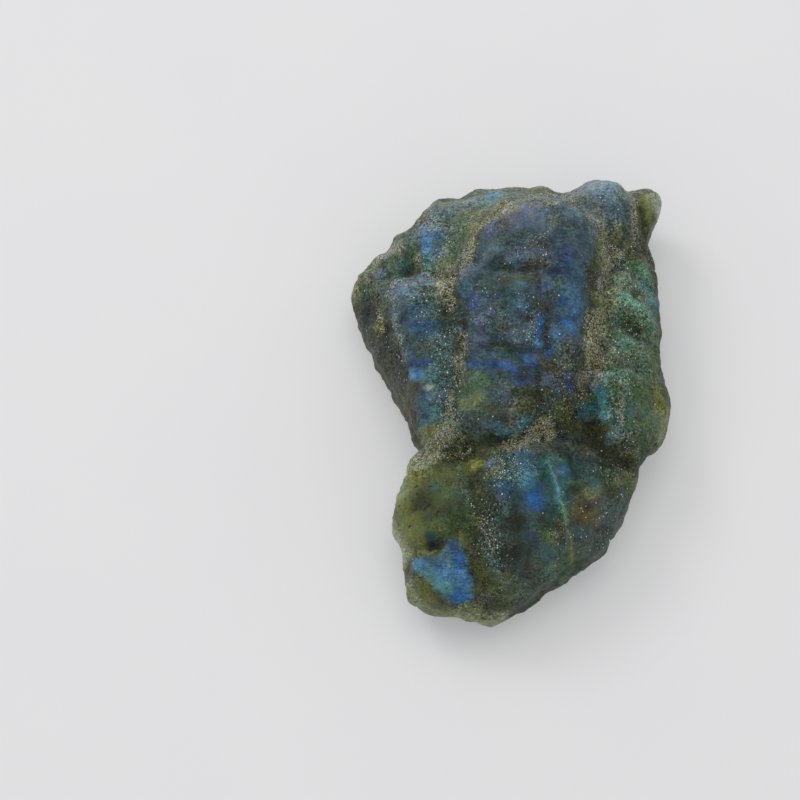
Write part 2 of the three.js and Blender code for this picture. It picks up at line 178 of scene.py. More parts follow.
# Small creases (negative) and sharp edges (positive): height, half width, points.
CREASES = [
    (0.23, 0.35, [(-13.0, 11.8), (-11.8, 12.1), (-10.4, 12.1), (-9.4, 12.0)]),
    (0.2, 0.3, [(-13.2, 11.4), (-12.6, 9.4), (-12.2, 6.0), (-11.5, 3.0), (-10.6, 0.0), (-9.8, -2.6)]),
    (-0.23, 0.35, [(-6.4, 10.6), (-5.6, 8.6), (-5.2, 5.4), (-5.4, 2.4), (-5.9, 0.2), (-6.2, -3.4)]),
    (-0.23, 0.35, [(-4.2, 16.4), (-3.2, 17.6), (-1.6, 18.6), (-0.6, 20.0)]),
    (-0.2, 0.3, [(-1.6, 19.4), (1.0, 20.5), (4.0, 20.5), (6.4, 21.3)]),
    (-0.26, 0.4, [(7.2, 20.6), (7.6, 19.0), (8.6, 17.6), (9.6, 16.4)]),
    (-0.29, 0.35, [(13.0, 15.4), (11.9, 13.7), (10.9, 12.4), (9.8, 11.4)]),
    (-0.23, 0.35, [(10.2, -0.3), (12.0, -1.8), (13.4, -3.6)]),
    (0.2, 0.25, [(11.4, -2.2), (11.5, -3.8), (11.7, -5.4)]),
    (-0.2, 0.3, [(11.0, 11.2), (13.0, 10.4), (15.6, 11.4)]),
    (-0.2, 0.3, [(10.6, 5.2), (12.6, 3.8), (14.2, 4.4), (16.0, 3.8)]),
    (0.16, 0.3, [(3.5, -8.8), (3.8, -10.4), (4.2, -11.7), (4.9, -13.2), (5.5, -15.0)]),
    (-0.23, 0.35, [(5.8, -8.4), (6.6, -10.2), (6.4, -12.0), (7.6, -13.8)]),
    (-0.2, 0.3, [(-3.2, -8.6), (-4.6, -10.8), (-4.4, -13.4), (-3.2, -15.4)]),
    (-0.2, 0.3, [(-10.2, -17.6), (-9.1, -17.5), (-8.0, -17.3)]),
    (-0.2, 0.3, [(-0.4, -1.6), (1.6, -2.6), (3.0, -2.4)]),
    (-0.2, 0.35, [(6.9, 3.2), (5.6, 1.2), (4.6, -0.6)]),
    (-0.16, 0.3, [(-3.6, 4.6), (-2.2, 5.2), (-0.4, 4.8), (0.8, 6.2)]),
    (-0.16, 0.3, [(-4.6, 12.8), (-3.2, 11.8), (-1.4, 12.6)]),
    (-0.2, 0.3, [(-10.6, 18.6), (-9.9, 16.8), (-10.6, 15.2)]),
    (-0.16, 0.3, [(-6.6, 19.8), (-6.9, 17.6), (-6.0, 15.4), (-6.4, 13.4)]),
    (-0.16, 0.3, [(1.8, -17.0), (3.2, -15.8), (5.0, -16.0), (6.6, -15.2)]),
    (-0.16, 0.3, [(8.0, -10.2), (9.6, -10.0), (11.4, -10.8)]),
    (-0.16, 0.3, [(-11.0, -9.8), (-9.0, -9.4), (-7.0, -9.8)]),
]

# ---- Colours of the feldspar, sRGB ----

# How each kind of feldspar looks where the light falls on the top of the stone.
FELDSPAR = {
    "near black": "#262C24", "dark olive": "#383D29", "olive": "#505634", "yellow olive": "#626537",
    "bright yellow": "#7A7D43", "pale olive": "#6E744E", "brown": "#3C392B", "ochre": "#584C28",
    "grey brown": "#4C4D44", "dark grey": "#3A3E39", "pale grey": "#717168", "grey green": "#546354",
    "moss green": "#435638", "dark green": "#32422C", "sea green": "#4C6C5D", "mint": "#62927E",
    "slate": "#40505A", "slate green": "#3E504D", "violet haze": "#5B6374", "haze": "#5A6C76",
    "pale haze": "#708292", "steel blue": "#405C70", "indigo": "#344262", "deep blue": "#2C4872",
    "bright blue": "#386298", "light blue": "#5078A0", "cyan": "#5A8EA0", "teal": "#3A6465",
    "deep teal": "#2B4444", "haze teal": "#507379", "sand": "#74775C", "pale edge": "#777C60",
    "white": "#969E94", "dark teal": "#264A47", "bright edge": "#898D74",
}
SHARE_OF_LIGHT = 0.82  # how bright a surface looks there, as a share of its own brightness
SHARE_OF_COLOUR = 0.92  # how far from grey it looks there, as a share of its own distance from grey
DARKEST = 0.004  # the least that is left of any channel

FAR_SLOPE_PAINTED_LIGHT = 0.22  # how far the slopes that face the far end are made pale: painted light, as if lit from behind

# Light lost in the troughs and won on the edges: how far a point lies in or out of its surroundings, in
# millimetres, where that starts and where it is full, and the share of light. The surroundings are what
# the surface becomes when it is smoothed a number of times.
TROUGH_SHADE = (0.02, 0.25, 0.5)
EDGE_LIGHT = (0.04, 0.22, 0.3)
SMOOTHINGS = 14

# Patches of colour on the top: colour, middle x and y, two radii, turn in degrees, strength. A later one
# lies over an earlier one.
PATCHES = [
    # the far ledge
    ("pale grey", -8.4, 21.4, 1.1, 1.6, 20, 0.7), ("grey green", -6.2, 21.4, 2.2, 1.6, 10, 0.8),
    ("haze", -4.4, 21.2, 2.4, 1.0, 5, 0.6), ("pale haze", -4.4, 22.1, 2.3, 0.7, 5, 0.9),
    ("cyan", -1.8, 22.0, 1.3, 0.9, 0, 0.7), ("light blue", -1.8, 22.6, 1.1, 0.6, 0, 1.0),
    ("grey green", -2.4, 23.8, 2.2, 0.6, 0, 0.7), ("slate green", 0.8, 22.2, 1.8, 1.2, 0, 0.9),
    ("grey brown", 2.4, 21.6, 2.4, 0.9, 0, 0.6), ("dark olive", 4.8, 20.4, 2.0, 0.9, 0, 0.9),
    ("deep teal", 0.8, 22.0, 1.7, 1.1, 0, 0.9), ("olive", 3.4, 24.0, 2.4, 1.1, 5, 0.9),
    ("pale olive", 3.2, 24.6, 2.0, 0.7, 5, 0.9), ("pale grey", 6.0, 23.2, 1.2, 0.9, 0, 0.8),
    ("white", 6.5, 22.5, 0.7, 0.7, 0, 0.7), ("pale grey", 6.6, 20.6, 0.7, 0.7, 0, 0.7),
    ("near black", 5.9, 24.3, 0.9, 0.3, 0, 0.8), ("olive", 7.2, 22.6, 0.9, 1.1, 0, 0.8),
    ("grey green", -4.1, 19.9, 1.9, 1.3, 0, 0.9), ("pale olive", -3.6, 20.2, 1.4, 0.6, 20, 0.5),
    ("yellow olive", -4.3, 17.8, 1.0, 1.2, 0, 0.9), ("bright yellow", -4.1, 17.4, 0.5, 0.5, 0, 0.6),
    # the slope below it on the left
    ("haze", -7.8, 19.8, 2.4, 1.2, 0, 0.8), ("pale grey", -9.6, 19.6, 1.2, 0.9, 40, 0.5),
    ("pale haze", -8.8, 18.4, 1.7, 1.1, 10, 0.9), ("steel blue", -8.2, 17.3, 1.9, 0.9, 0, 0.8),
    ("steel blue", -8.2, 15.6, 1.3, 1.5, 0, 0.8), ("light blue", -9.5, 16.0, 0.7, 1.5, 0, 1.0),
    ("teal", -9.2, 14.3, 0.8, 1.1, 0, 0.9), ("pale haze", -8.0, 14.6, 1.0, 0.6, 0, 0.7),
    ("grey green", -6.3, 18.2, 1.0, 1.8, 0, 0.6), ("slate green", -6.9, 16.4, 0.8, 1.4, 0, 0.5),
    ("pale olive", -7.0, 14.8, 1.0, 1.3, 0, 0.5), ("grey green", -5.6, 15.4, 1.3, 1.6, 10, 0.8),
    ("grey brown", -10.2, 15.2, 0.4, 2.0, 5, 0.8), ("violet haze", -10.4, 17.6, 0.7, 0.9, 0, 0.5),
    ("dark green", -11.3, 15.4, 0.8, 2.2, 0, 0.9), ("dark olive", -11.1, 13.5, 0.9, 1.2, 0, 1.0),
    ("near black", -11.5, 12.9, 0.9, 0.7, 0, 0.8), ("pale olive", -7.5, 13.4, 0.8, 0.6, 0, 0.6),
    # the left knob and shoulder
    ("grey green", -12.4, 17.4, 1.1, 1.4, 0, 0.9), ("slate green", -11.4, 17.0, 0.7, 1.2, 0, 0.8),
    ("dark teal", -11.8, 14.5, 0.8, 1.0, 0, 0.8), ("grey green", -13.0, 14.8, 1.2, 0.9, 0, 0.8),
    ("dark teal", -12.4, 12.9, 1.0, 0.6, 0, 0.9), ("olive", -14.8, 15.0, 0.9, 0.5, 30, 0.7),
    ("pale grey", -15.3, 13.7, 1.2, 1.3, 0, 0.9), ("pale haze", -14.3, 13.5, 0.8, 1.1, 0, 0.7),
    # The pale edge on the left knob's rim, first on the next line, is partly its pale thin edge and partly
    # painted rim light.
    ("pale edge", -15.2, 15.8, 2.2, 1.0, 35, 0.9), ("pale grey", -13.3, 16.2, 1.7, 1.0, 25, 1.0),
    ("white", -13.4, 16.2, 1.2, 0.6, 25, 0.6), ("olive", -16.0, 13.9, 0.9, 0.9, 40, 0.7),
    ("grey green", -13.6, 12.6, 1.0, 0.6, 0, 0.6),
    # the left face: an outer dark band, a pale strip, and the edge of the terrace
    ("dark grey", -15.6, 9.6, 1.8, 4.4, -10, 1.0), ("grey green", -15.0, 12.0, 1.0, 0.9, 0, 0.7),
    # The pale edge on the rim, first on the next line, is partly the pale thin edge and partly painted rim
    # light.
    ("pale edge", -16.9, 12.0, 0.8, 1.2, 0, 0.6), ("dark grey", -13.6, 6.2, 1.8, 4.4, -20, 1.0),
    ("near black", -14.8, 4.2, 0.9, 1.4, -20, 0.4), ("dark grey", -12.6, 1.8, 1.5, 4.4, -22, 1.0),
    ("grey brown", -11.2, -1.4, 1.2, 2.8, -20, 1.0), ("dark grey", -10.6, -3.6, 0.9, 2.2, -18, 0.8),
    ("yellow olive", -14.2, 8.2, 0.6, 1.2, -15, 0.7), ("near black", -15.9, 9.9, 0.5, 1.3, 0, 0.6),
    ("grey green", -13.4, 10.2, 0.9, 1.6, -10, 0.7), ("violet haze", -13.3, 11.4, 1.0, 0.6, -20, 0.8),
    # the left terrace
    ("pale haze", -11.7, 11.2, 1.6, 0.9, 10, 0.8), ("pale haze", -9.8, 12.4, 1.5, 0.6, 0, 1.0),
    ("pale haze", -9.1, 11.6, 1.0, 0.6, 0, 0.9), ("haze", -12.2, 9.6, 0.8, 1.8, -12, 0.8),
    ("haze", -10.8, 9.9, 1.5, 1.1, 0, 0.9), ("grey green", -9.0, 9.9, 1.2, 0.9, 0, 0.7),
    ("steel blue", -10.2, 8.0, 1.5, 1.1, 0, 0.6), ("slate green", -8.4, 8.6, 0.9, 0.9, 0, 0.6),
    ("steel blue", -10.9, 6.9, 0.8, 1.4, -10, 0.6), ("near black", -7.0, 6.9, 1.2, 1.4, 10, 0.9),
    ("deep teal", -8.0, 6.0, 1.0, 0.8, 0, 0.7), ("deep blue", -9.5, 6.1, 1.4, 0.7, -5, 0.7),
    ("steel blue", -9.4, 5.2, 1.6, 0.5, 0, 0.6), ("haze", -8.2, 4.5, 0.9, 0.6, 0, 0.6),
    ("slate green", -7.0, 4.0, 1.0, 1.0, 0, 0.6), ("grey brown", -9.7, 3.7, 1.1, 0.4, 10, 0.7),
    ("steel blue", -11.0, 3.2, 0.6, 1.2, -15, 0.7), ("deep blue", -9.8, 2.2, 1.5, 0.6, 0, 0.8),
    ("slate green", -7.6, 1.8, 1.2, 1.6, 0, 0.7), ("light blue", -10.3, 1.0, 0.9, 0.9, 0, 1.0),
    ("haze teal", -8.8, 0.7, 1.0, 0.9, 0, 0.5), ("deep teal", -7.0, -0.4, 0.8, 1.4, 0, 0.6),
    ("steel blue", -9.6, -1.6, 1.0, 0.9, 0, 0.8), ("haze", -8.2, -1.6, 1.1, 0.8, 0, 0.7),
    ("slate green", -7.1, -2.4, 0.9, 0.9, 0, 0.5), ("haze teal", -8.8, -3.4, 1.2, 1.0, 0, 0.9),
    ("steel blue", -9.7, -3.0, 0.4, 1.0, 0, 0.6), ("white", -9.1, -0.8, 0.6, 0.36, 0, 0.9),
    ("sand", -7.4, -4.8, 0.9, 0.9, 0, 0.8), ("pale edge", -9.4, -5.0, 0.5, 1.1, 0, 0.9),
    ("yellow olive", -8.8, -5.1, 0.6, 0.9, 20, 0.9), ("pale grey", -9.7, -6.6, 1.4, 0.8, 0, 0.8),
    ("brown", -11.2, -2.2, 1.1, 2.2, -20, 0.9), ("brown", -11.0, -4.4, 0.9, 1.4, -20, 0.8),
    ("olive", -7.8, -6.6, 1.3, 0.8, 0, 0.9), ("sand", -6.6, -6.3, 1.1, 0.8, 0, 0.9),
    # the trough between the terrace and the crest
    ("bright edge", -7.1, 10.6, 1.0, 2.2, -10, 0.9), ("olive", -6.6, 9.0, 0.5, 1.0, -10, 0.8),
    ("near black", -5.4, 5.8, 1.3, 0.5, -40, 0.9), ("brown", -5.8, 3.6, 0.6, 1.4, 0, 0.9),
    ("pale grey", -5.5, 1.2, 0.5, 1.8, -5, 0.7), ("dark olive", -6.2, 14.2, 0.6, 1.6, 10, 0.3),
    # the far end of the crest
    ("pale grey", -0.6, 19.4, 2.2, 0.8, 0, 0.7), ("grey green", 2.0, 20.5, 1.8, 0.7, 0, 0.8),
    ("pale grey", 3.4, 18.6, 2.4, 0.5, 0, 0.9), ("haze", 6.4, 17.6, 1.5, 1.1, 0, 0.8),
    ("haze", 3.2, 16.6, 2.2, 1.7, 0, 0.9), ("violet haze", 0.9, 17.0, 2.4, 2.4, 0, 1.0),
    ("grey brown", 4.7, 16.4, 1.0, 1.5, 0, 0.7), ("slate green", 6.1, 15.6, 1.4, 1.2, 0, 0.7),
    ("slate green", 0.4, 14.9, 2.6, 0.8, 0, 0.8), ("violet haze", -2.6, 15.6, 0.9, 1.6, 0, 0.8),
    ("grey brown", -1.1, 16.6, 0.6, 1.1, 0, 0.8), ("pale grey", -0.8, 18.3, 1.1, 1.0, 0, 0.9),
    ("white", -2.5, 18.0, 0.8, 0.9, 0, 0.7), ("slate green", -1.5, 14.2, 1.0, 0.7, 0, 0.6),
    ("slate", -3.4, 13.4, 1.4, 1.3, 0, 0.6), ("haze", -1.7, 12.8, 2.2, 0.9, 0, 0.8),
    ("pale grey", -5.0, 13.6, 0.5, 1.6, 15, 0.6), ("pale haze", -5.4, 11.6, 0.7, 0.9, 0, 0.7),
    ("violet haze", -4.8, 11.8, 1.1, 0.8, 0, 0.9), ("haze", -3.2, 12.0, 1.2, 0.9, 0, 0.7),
    ("deep teal", -1.9, 11.3, 0.9, 0.8, 0, 0.8), ("dark green", -0.9, 11.8, 0.7, 0.6, 0, 0.9),
    ("violet haze", 2.5, 12.9, 2.0, 0.5, 0, 0.5), ("grey brown", 1.8, 13.7, 0.9, 0.5, 0, 0.7),
    ("brown", 3.2, 13.9, 0.7, 0.4, 0, 0.7), ("dark grey", 0.8, 11.2, 1.5, 0.5, 0, 0.6),
    ("dark grey", 1.3, 10.4, 1.6, 0.7, 0, 0.9), ("grey brown", 3.0, 11.8, 1.8, 0.8, 0, 0.7),
    ("indigo", 5.7, 12.6, 0.9, 1.4, 0, 0.9), ("indigo", 4.7, 11.1, 1.2, 0.6, 0, 0.9),
    ("deep blue", 6.0, 11.8, 0.4, 0.7, 0, 0.8), ("steel blue", 6.7, 10.4, 0.9, 1.8, 0, 0.8),
    ("slate", 7.6, 13.4, 0.9, 2.0, 0, 0.6),
    # its middle
    ("brown", -1.0, 9.8, 0.8, 1.6, 0, 1.0), ("grey green", 0.2, 10.3, 1.3, 0.7, 0, 0.5),
    ("haze teal", 0.0, 9.3, 1.1, 0.7, 0, 0.5), ("dark grey", 1.6, 10.2, 1.0, 0.8, 0, 0.8),
    ("violet haze", 3.2, 9.8, 0.6, 1.1, 20, 0.8), ("deep blue", 3.3, 9.6, 0.4, 0.7, 20, 0.6),
    ("slate green", -2.5, 9.9, 1.5, 1.2, 0, 0.8), ("deep teal", -0.9, 9.0, 1.0, 1.6, 0, 0.5),
    ("dark grey", -1.0, 10.2, 1.0, 1.1, 0, 0.8), ("steel blue", -5.0, 9.8, 0.9, 1.0, 0, 0.7),
    ("slate green", -3.9, 9.4, 1.0, 0.9, 0, 0.6), ("indigo", -4.4, 7.9, 1.2, 1.0, 0, 0.9),
    ("slate", -3.0, 7.9, 1.0, 0.8, 0, 0.6), ("violet haze", -2.4, 6.8, 0.9, 0.6, 0, 1.0),
    ("violet haze", -3.7, 5.7, 1.2, 0.7, 0, 0.9), ("sea green", -1.4, 7.2, 0.8, 1.3, 0, 0.6),
    ("slate green", -1.8, 5.6, 1.6, 0.7, 0, 0.7), ("steel blue", 1.1, 7.1, 0.9, 1.0, 0, 0.9),
    ("haze teal", 0.2, 7.3, 0.5, 0.5, 0, 0.9), ("slate", 1.3, 8.2, 1.1, 0.7, 0, 0.6),
    ("dark grey", 2.5, 7.0, 0.8, 1.5, 0, 0.8), ("dark grey", 3.5, 7.2, 0.7, 1.8, 0, 0.7),
    ("near black", 1.4, 5.6, 0.9, 0.7, 0, 1.0), ("slate green", 4.8, 9.9, 1.1, 1.1, 0, 0.9),
    ("teal", 4.9, 8.7, 0.7, 0.6, 0, 0.5), ("steel blue", 6.0, 8.9, 1.0, 1.2, 0, 0.5),
    ("steel blue", 6.1, 7.4, 1.4, 1.8, 0, 0.9), ("bright blue", 6.3, 6.8, 0.6, 0.8, 0, 0.6),
    ("deep blue", 5.0, 7.6, 0.6, 0.7, 0, 0.7), ("steel blue", 5.5, 6.0, 1.3, 1.2, 0, 0.8),
    ("bright blue", 5.4, 5.4, 0.8, 0.6, 0, 0.7), ("light blue", 6.5, 7.3, 0.5, 0.9, 0, 0.3),
    ("bright blue", 6.2, 4.8, 0.8, 1.1, 0, 0.6), ("steel blue", 4.6, 4.4, 1.1, 1.1, 0, 0.9),
    ("light blue", 4.5, 4.3, 0.6, 0.7, 0, 0.5), ("dark grey", 7.3, 4.2, 0.9, 1.3, 0, 0.6),
    ("slate", 7.5, 8.0, 0.6, 2.4, 0, 0.8), ("brown", 8.2, 10.4, 0.7, 2.0, 0, 0.9),
    # its near end
    ("grey brown", -1.0, 4.8, 1.0, 0.6, 0, 0.8), ("violet haze", -3.5, 3.8, 1.0, 0.9, 0, 0.7),
    ("haze", 0.2, 3.6, 1.0, 1.1, 0, 0.7), ("dark green", -1.4, 3.1, 1.3, 0.6, 0, 0.9),
    ("slate", -3.6, 2.6, 1.3, 0.7, 0, 0.7), ("haze teal", 1.6, 4.2, 0.4, 0.9, -15, 0.7),
    ("bright blue", 2.6, 4.9, 0.6, 1.5, 0, 0.8), ("light blue", 2.5, 3.2, 0.5, 0.5, 0, 0.8),
    ("dark grey", 3.3, 4.4, 0.4, 1.6, 0, 0.8), ("deep blue", 3.6, 2.3, 0.5, 1.0, 0, 0.9),
    ("deep teal", -0.4, 2.1, 2.0, 0.8, 0, 0.9), ("bright blue", 1.3, 1.7, 0.7, 0.9, 0, 0.5),
    ("deep blue", 2.0, 0.9, 0.6, 0.5, 0, 0.8), ("brown", 2.9, 1.2, 0.6, 1.0, 0, 0.7),
    ("bright blue", -4.5, 1.4, 0.8, 0.6, 0, 0.7), ("deep blue", -2.6, 1.0, 1.6, 0.6, -8, 0.9),
    ("bright blue", -1.2, 0.8, 1.1, 0.5, -20, 0.6), ("bright blue", 0.0, 0.3, 0.8, 0.5, -20, 0.6),
    ("near black", 1.2, 0.1, 0.8, 0.7, 0, 0.5), ("indigo", 0.8, -0.8, 1.3, 0.6, 0, 0.9),
    ("slate green", -2.2, -0.5, 2.0, 0.7, 0, 0.7), ("haze", -1.0, -1.5, 1.3, 0.7, 10, 0.7),
    ("slate green", -2.4, -2.2, 1.3, 1.0, 0, 0.6), ("moss green", -4.6, -0.9, 1.6, 1.4, 0, 0.8),
    ("grey green", -5.2, -0.3, 0.9, 0.7, 0, 0.7), ("pale olive", -4.6, -2.9, 1.4, 0.8, 10, 0.7),
    ("moss green", -2.9, -3.9, 1.9, 0.9, 0, 0.8), ("dark grey", -4.6, -4.8, 1.6, 0.9, 0, 0.9),
    ("dark olive", -2.6, -6.4, 2.2, 0.9, 0, 0.7), ("indigo", -1.4, -6.3, 1.0, 0.5, 0, 0.6),
    ("dark olive", 1.6, -2.2, 2.6, 1.0, -8, 1.0), ("near black", 2.7, -2.9, 1.7, 1.1, -15, 1.0),
    ("dark grey", 1.5, -4.0, 1.4, 0.5, 0, 0.8), ("haze teal", -0.7, -5.8, 1.5, 0.8, -15, 1.0),
    ("bright edge", 0.1, -6.6, 1.2, 0.6, -15, 0.9), ("pale grey", -0.5, -5.2, 0.8, 0.7, 0, 0.5),
    ("dark olive", 0.6, -3.7, 2.8, 1.0, 0, 1.0), ("dark grey", -1.2, -4.2, 1.6, 1.0, 0, 0.8),
    ("cyan", 0.7, -5.0, 0.6, 0.4, 0, 0.8), ("teal", 1.2, -5.2, 0.7, 0.5, 0, 0.8),
    ("violet haze", 2.1, -5.0, 0.6, 0.6, 0, 0.5), ("brown", 4.4, 0.9, 1.5, 1.1, 0, 0.9),
    ("grey brown", 5.6, 2.6, 0.9, 1.1, 0, 0.7), ("olive", 5.6, 1.4, 0.6, 0.6, 0, 0.8),
    ("violet haze", 3.6, -0.9, 0.8, 0.9, -30, 0.8), ("olive", 5.4, -3.4, 1.5, 0.9, -25, 0.9),
    ("dark olive", 3.2, -1.9, 1.2, 0.8, 0, 0.9), ("indigo", 5.9, -0.7, 0.5, 1.1, 10, 1.0),
    ("pale grey", 7.1, 0.1, 0.9, 1.0, 0, 0.7), ("near black", 2.5, -0.8, 0.5, 1.3, 0, 0.8),
    ("dark grey", 4.8, -0.4, 0.5, 0.9, 0, 0.6), ("near black", 3.2, -4.1, 1.3, 0.7, -20, 0.8),
    ("dark olive", 1.2, -4.2, 1.4, 0.6, 0, 0.8), ("slate green", 4.9, 2.0, 0.9, 1.0, 0, 0.7),
    # the far knob and the corner knob
    ("pale haze", 9.4, 23.2, 3.0, 2.0, 0, 1.0), ("violet haze", 8.2, 23.8, 0.8, 1.0, 0, 0.6),
    ("haze teal", 11.0, 24.2, 1.1, 0.9, 0, 0.8), ("pale haze", 9.8, 21.6, 2.2, 1.3, 0, 0.7),
    ("slate", 10.4, 20.0, 2.4, 1.4, 0, 0.6), ("grey green", 11.6, 21.0, 0.8, 1.2, 0, 0.5),
    ("grey green", 12.5, 22.8, 0.8, 1.6, 0, 0.8), ("pale grey", 13.0, 24.0, 0.9, 0.6, 0, 0.6),
    ("grey green", 8.1, 21.0, 0.6, 1.2, 0, 0.7), ("slate green", 12.4, 18.0, 1.1, 1.6, 0, 0.8),
    ("dark green", 10.7, 17.0, 1.1, 1.1, 0, 0.9), ("bright yellow", 11.55, 18.0, 0.3, 0.7, 0, 0.9),
    ("yellow olive", 14.9, 21.6, 1.2, 2.2, 0, 0.9), ("olive", 14.6, 22.2, 0.7, 1.6, 0, 0.6),
    # The pale edge and white on the corner knob's rim, on the next line, are partly its pale thin edge and
    # partly painted rim light.
    ("pale edge", 16.4, 22.4, 1.2, 2.2, 0, 1.0), ("white", 17.0, 22.4, 0.9, 1.9, 0, 0.7),
    ("pale grey", 15.0, 24.4, 1.5, 0.5, 0, 0.6), ("dark olive", 14.5, 18.6, 1.3, 2.2, 0, 1.0),
    ("brown", 14.4, 16.2, 1.1, 1.2, 0, 0.8), ("sand", 12.6, 16.4, 0.8, 0.8, 0, 0.5),
    ("sand", 11.5, 17.4, 0.6, 0.9, 0, 0.8), ("dark olive", 13.7, 16.6, 0.8, 0.8, 0, 0.9),
    ("dark olive", 14.9, 18.4, 1.4, 1.6, 0, 0.9), ("brown", 13.5, 14.8, 1.5, 0.6, 20, 0.9),
    # the sandy trough right of the crest
    ("pale grey", 9.2, 18.4, 1.1, 1.9, 0, 0.7), ("bright edge", 10.5, 15.2, 1.5, 2.1, 0, 0.8),
    ("olive", 9.5, 13.6, 0.7, 1.5, 0, 0.6), ("haze", 8.9, 16.3, 0.8, 1.3, 0, 0.8),
    ("sand", 10.3, 12.6, 0.9, 0.9, 0, 0.7), ("pale grey", 12.4, 12.7, 1.5, 0.9, -10, 0.6),
    ("bright edge", 10.6, 9.0, 1.1, 1.6, 0, 0.9), ("dark grey", 9.4, 10.4, 0.9, 1.3, 0, 1.0),
    ("grey green", 11.8, 11.2, 1.1, 1.3, 0, 0.9), ("pale olive", 9.4, 8.4, 1.1, 1.6, 0, 0.6),
    ("moss green", 10.8, 6.2, 1.3, 1.6, 0, 0.7), ("grey green", 11.0, 8.0, 1.3, 1.1, 0, 0.9),
    ("olive", 9.2, 5.8, 0.8, 2.0, 0, 0.5), ("bright edge", 9.2, 4.0, 1.5, 3.2, 0, 0.9),
    ("haze teal", 9.2, 0.4, 1.1, 1.0, 0, 0.7),
    # the right face
    ("moss green", 13.2, 14.0, 1.4, 1.0, 20, 1.0), ("sea green", 14.5, 13.3, 1.2, 1.0, 20, 0.9),
    ("haze teal", 14.3, 12.0, 1.1, 0.7, 0, 1.0), ("haze teal", 15.6, 10.4, 0.8, 1.3, 0, 0.7),
    ("mint", 12.7, 9.4, 1.7, 0.6, -8, 0.8), ("sea green", 14.4, 9.0, 1.5, 0.7, 0, 0.8),
    ("moss green", 12.4, 7.6, 2.1, 0.7, -15, 1.0), ("dark green", 13.0, 6.8, 1.5, 0.5, -15, 0.7),
    ("sea green", 14.8, 7.6, 1.1, 0.7, 0, 0.8), ("moss green", 12.8, 5.9, 1.3, 0.5, -15, 0.7),
    ("sea green", 11.8, 4.5, 2.0, 0.9, -15, 0.8), ("grey green", 12.9, 4.0, 0.7, 0.6, 0, 0.7),
    ("grey green", 14.2, 5.0, 1.1, 1.1, 0, 0.7), ("moss green", 13.3, 2.8, 1.4, 0.6, -20, 0.8),
    ("sea green", 14.2, 2.0, 0.9, 0.8, 0, 0.4), ("moss green", 10.4, 1.6, 1.3, 0.7, 0, 0.8),
    ("sea green", 11.4, 0.4, 1.6, 0.8, -15, 0.8), ("teal", 9.3, -1.4, 0.7, 1.0, 0, 1.0),
    ("pale haze", 8.6, -0.4, 0.5, 0.6, 0, 0.6), ("steel blue", 9.2, -0.6, 0.4, 0.7, 0, 0.7),
    ("grey green", 8.9, 0.5, 0.9, 0.8, 0, 0.8), ("white", 8.9, 0.4, 0.9, 0.8, 0, 0.4),
    ("dark green", 10.6, -1.4, 0.8, 1.2, -20, 0.8), ("teal", 12.3, -2.2, 0.9, 1.5, -15, 0.6),
    ("cyan", 9.7, -3.3, 0.8, 1.1, 0, 0.5), ("teal", 9.6, -2.4, 1.3, 1.1, 0, 0.6),
    ("dark teal", 11.6, -4.0, 1.1, 1.4, 0, 0.8), ("deep teal", 10.6, -4.4, 0.6, 0.8, 0, 0.9),
    ("teal", 7.6, -2.8, 1.2, 0.9, 0, 1.0), ("moss green", 13.6, -0.8, 1.6, 2.0, 0, 0.8),
    ("olive", 15.0, 0.2, 0.9, 1.0, 0, 0.7), ("dark green", 13.0, 0.2, 1.2, 0.6, -20, 0.6),
    ("yellow olive", 15.6, -1.3, 0.9, 1.8, 0, 0.9), ("pale olive", 16.1, -2.8, 0.7, 1.4, 0, 0.8),
    ("moss green", 13.8, -4.4, 1.7, 1.1, 0, 0.8), ("olive", 15.6, -4.6, 0.8, 0.9, 0, 0.7),
    ("olive", 15.6, 2.4, 0.8, 1.6, 0, 0.6), ("sea green", 11.2, 7.8, 1.3, 1.0, 0, 0.7),
    ("bright edge", 10.5, 8.5, 0.8, 0.8, 0, 0.9), ("dark green", 12.5, 5.5, 1.2, 0.5, -15, 0.8),
    ("dark green", 11.0, -2.2, 1.0, 1.0, 0, 0.6), ("moss green", 15.2, 4.2, 0.9, 1.6, 0, 0.8),
    ("moss green", 13.0, 10.6, 1.0, 0.6, 0, 0.7), ("dark grey", 14.0, -6.2, 1.2, 0.8, 0, 0.7),
    ("dark olive", 15.2, -6.0, 1.3, 1.0, 0, 0.9), ("near black", 8.4, -3.9, 1.0, 0.5, 0, 0.8),
    ("ochre", 8.7, -4.8, 0.8, 0.5, 0, 0.6), ("haze", 10.4, -6.0, 1.0, 0.7, 0, 0.6),
    ("dark olive", 11.6, -6.8, 1.6, 0.7, 0, 0.9), ("dark grey", 6.6, -5.6, 1.8, 0.9, 0, 0.8),
    ("near black", 5.2, -6.0, 1.6, 0.8, 0, 0.7), ("dark green", 13.0, -6.0, 1.4, 0.9, 0, 0.8),
    ("dark olive", 6.6, -7.0, 2.6, 0.8, 0, 0.7),
    # the near block: its upper part
    ("dark teal", 3.4, -10.4, 4.4, 2.4, 0, 0.9), ("deep teal", 3.6, -7.7, 3.6, 1.1, 0, 1.0),
    ("near black", 3.2, -8.0, 2.6, 0.9, 0, 0.8), ("steel blue", 0.8, -8.9, 1.2, 1.3, 0, 0.6),
    ("teal", 2.6, -9.4, 1.1, 0.6, 0, 0.4), ("sea green", 4.0, -8.9, 1.0, 0.6, 0, 0.5),
    ("haze teal", 0.9, -10.5, 1.4, 0.9, 0, 0.7), ("teal", 1.7, -11.0, 1.0, 1.1, 0, 0.7),
    ("steel blue", 1.6, -10.4, 0.9, 1.6, 0, 0.5), ("light blue", 5.1, -10.0, 0.9, 0.7, 0, 0.5),
    ("violet haze", 4.3, -10.2, 0.4, 0.6, 0, 0.4), ("deep teal", 7.4, -9.0, 1.8, 1.0, 0, 0.9),
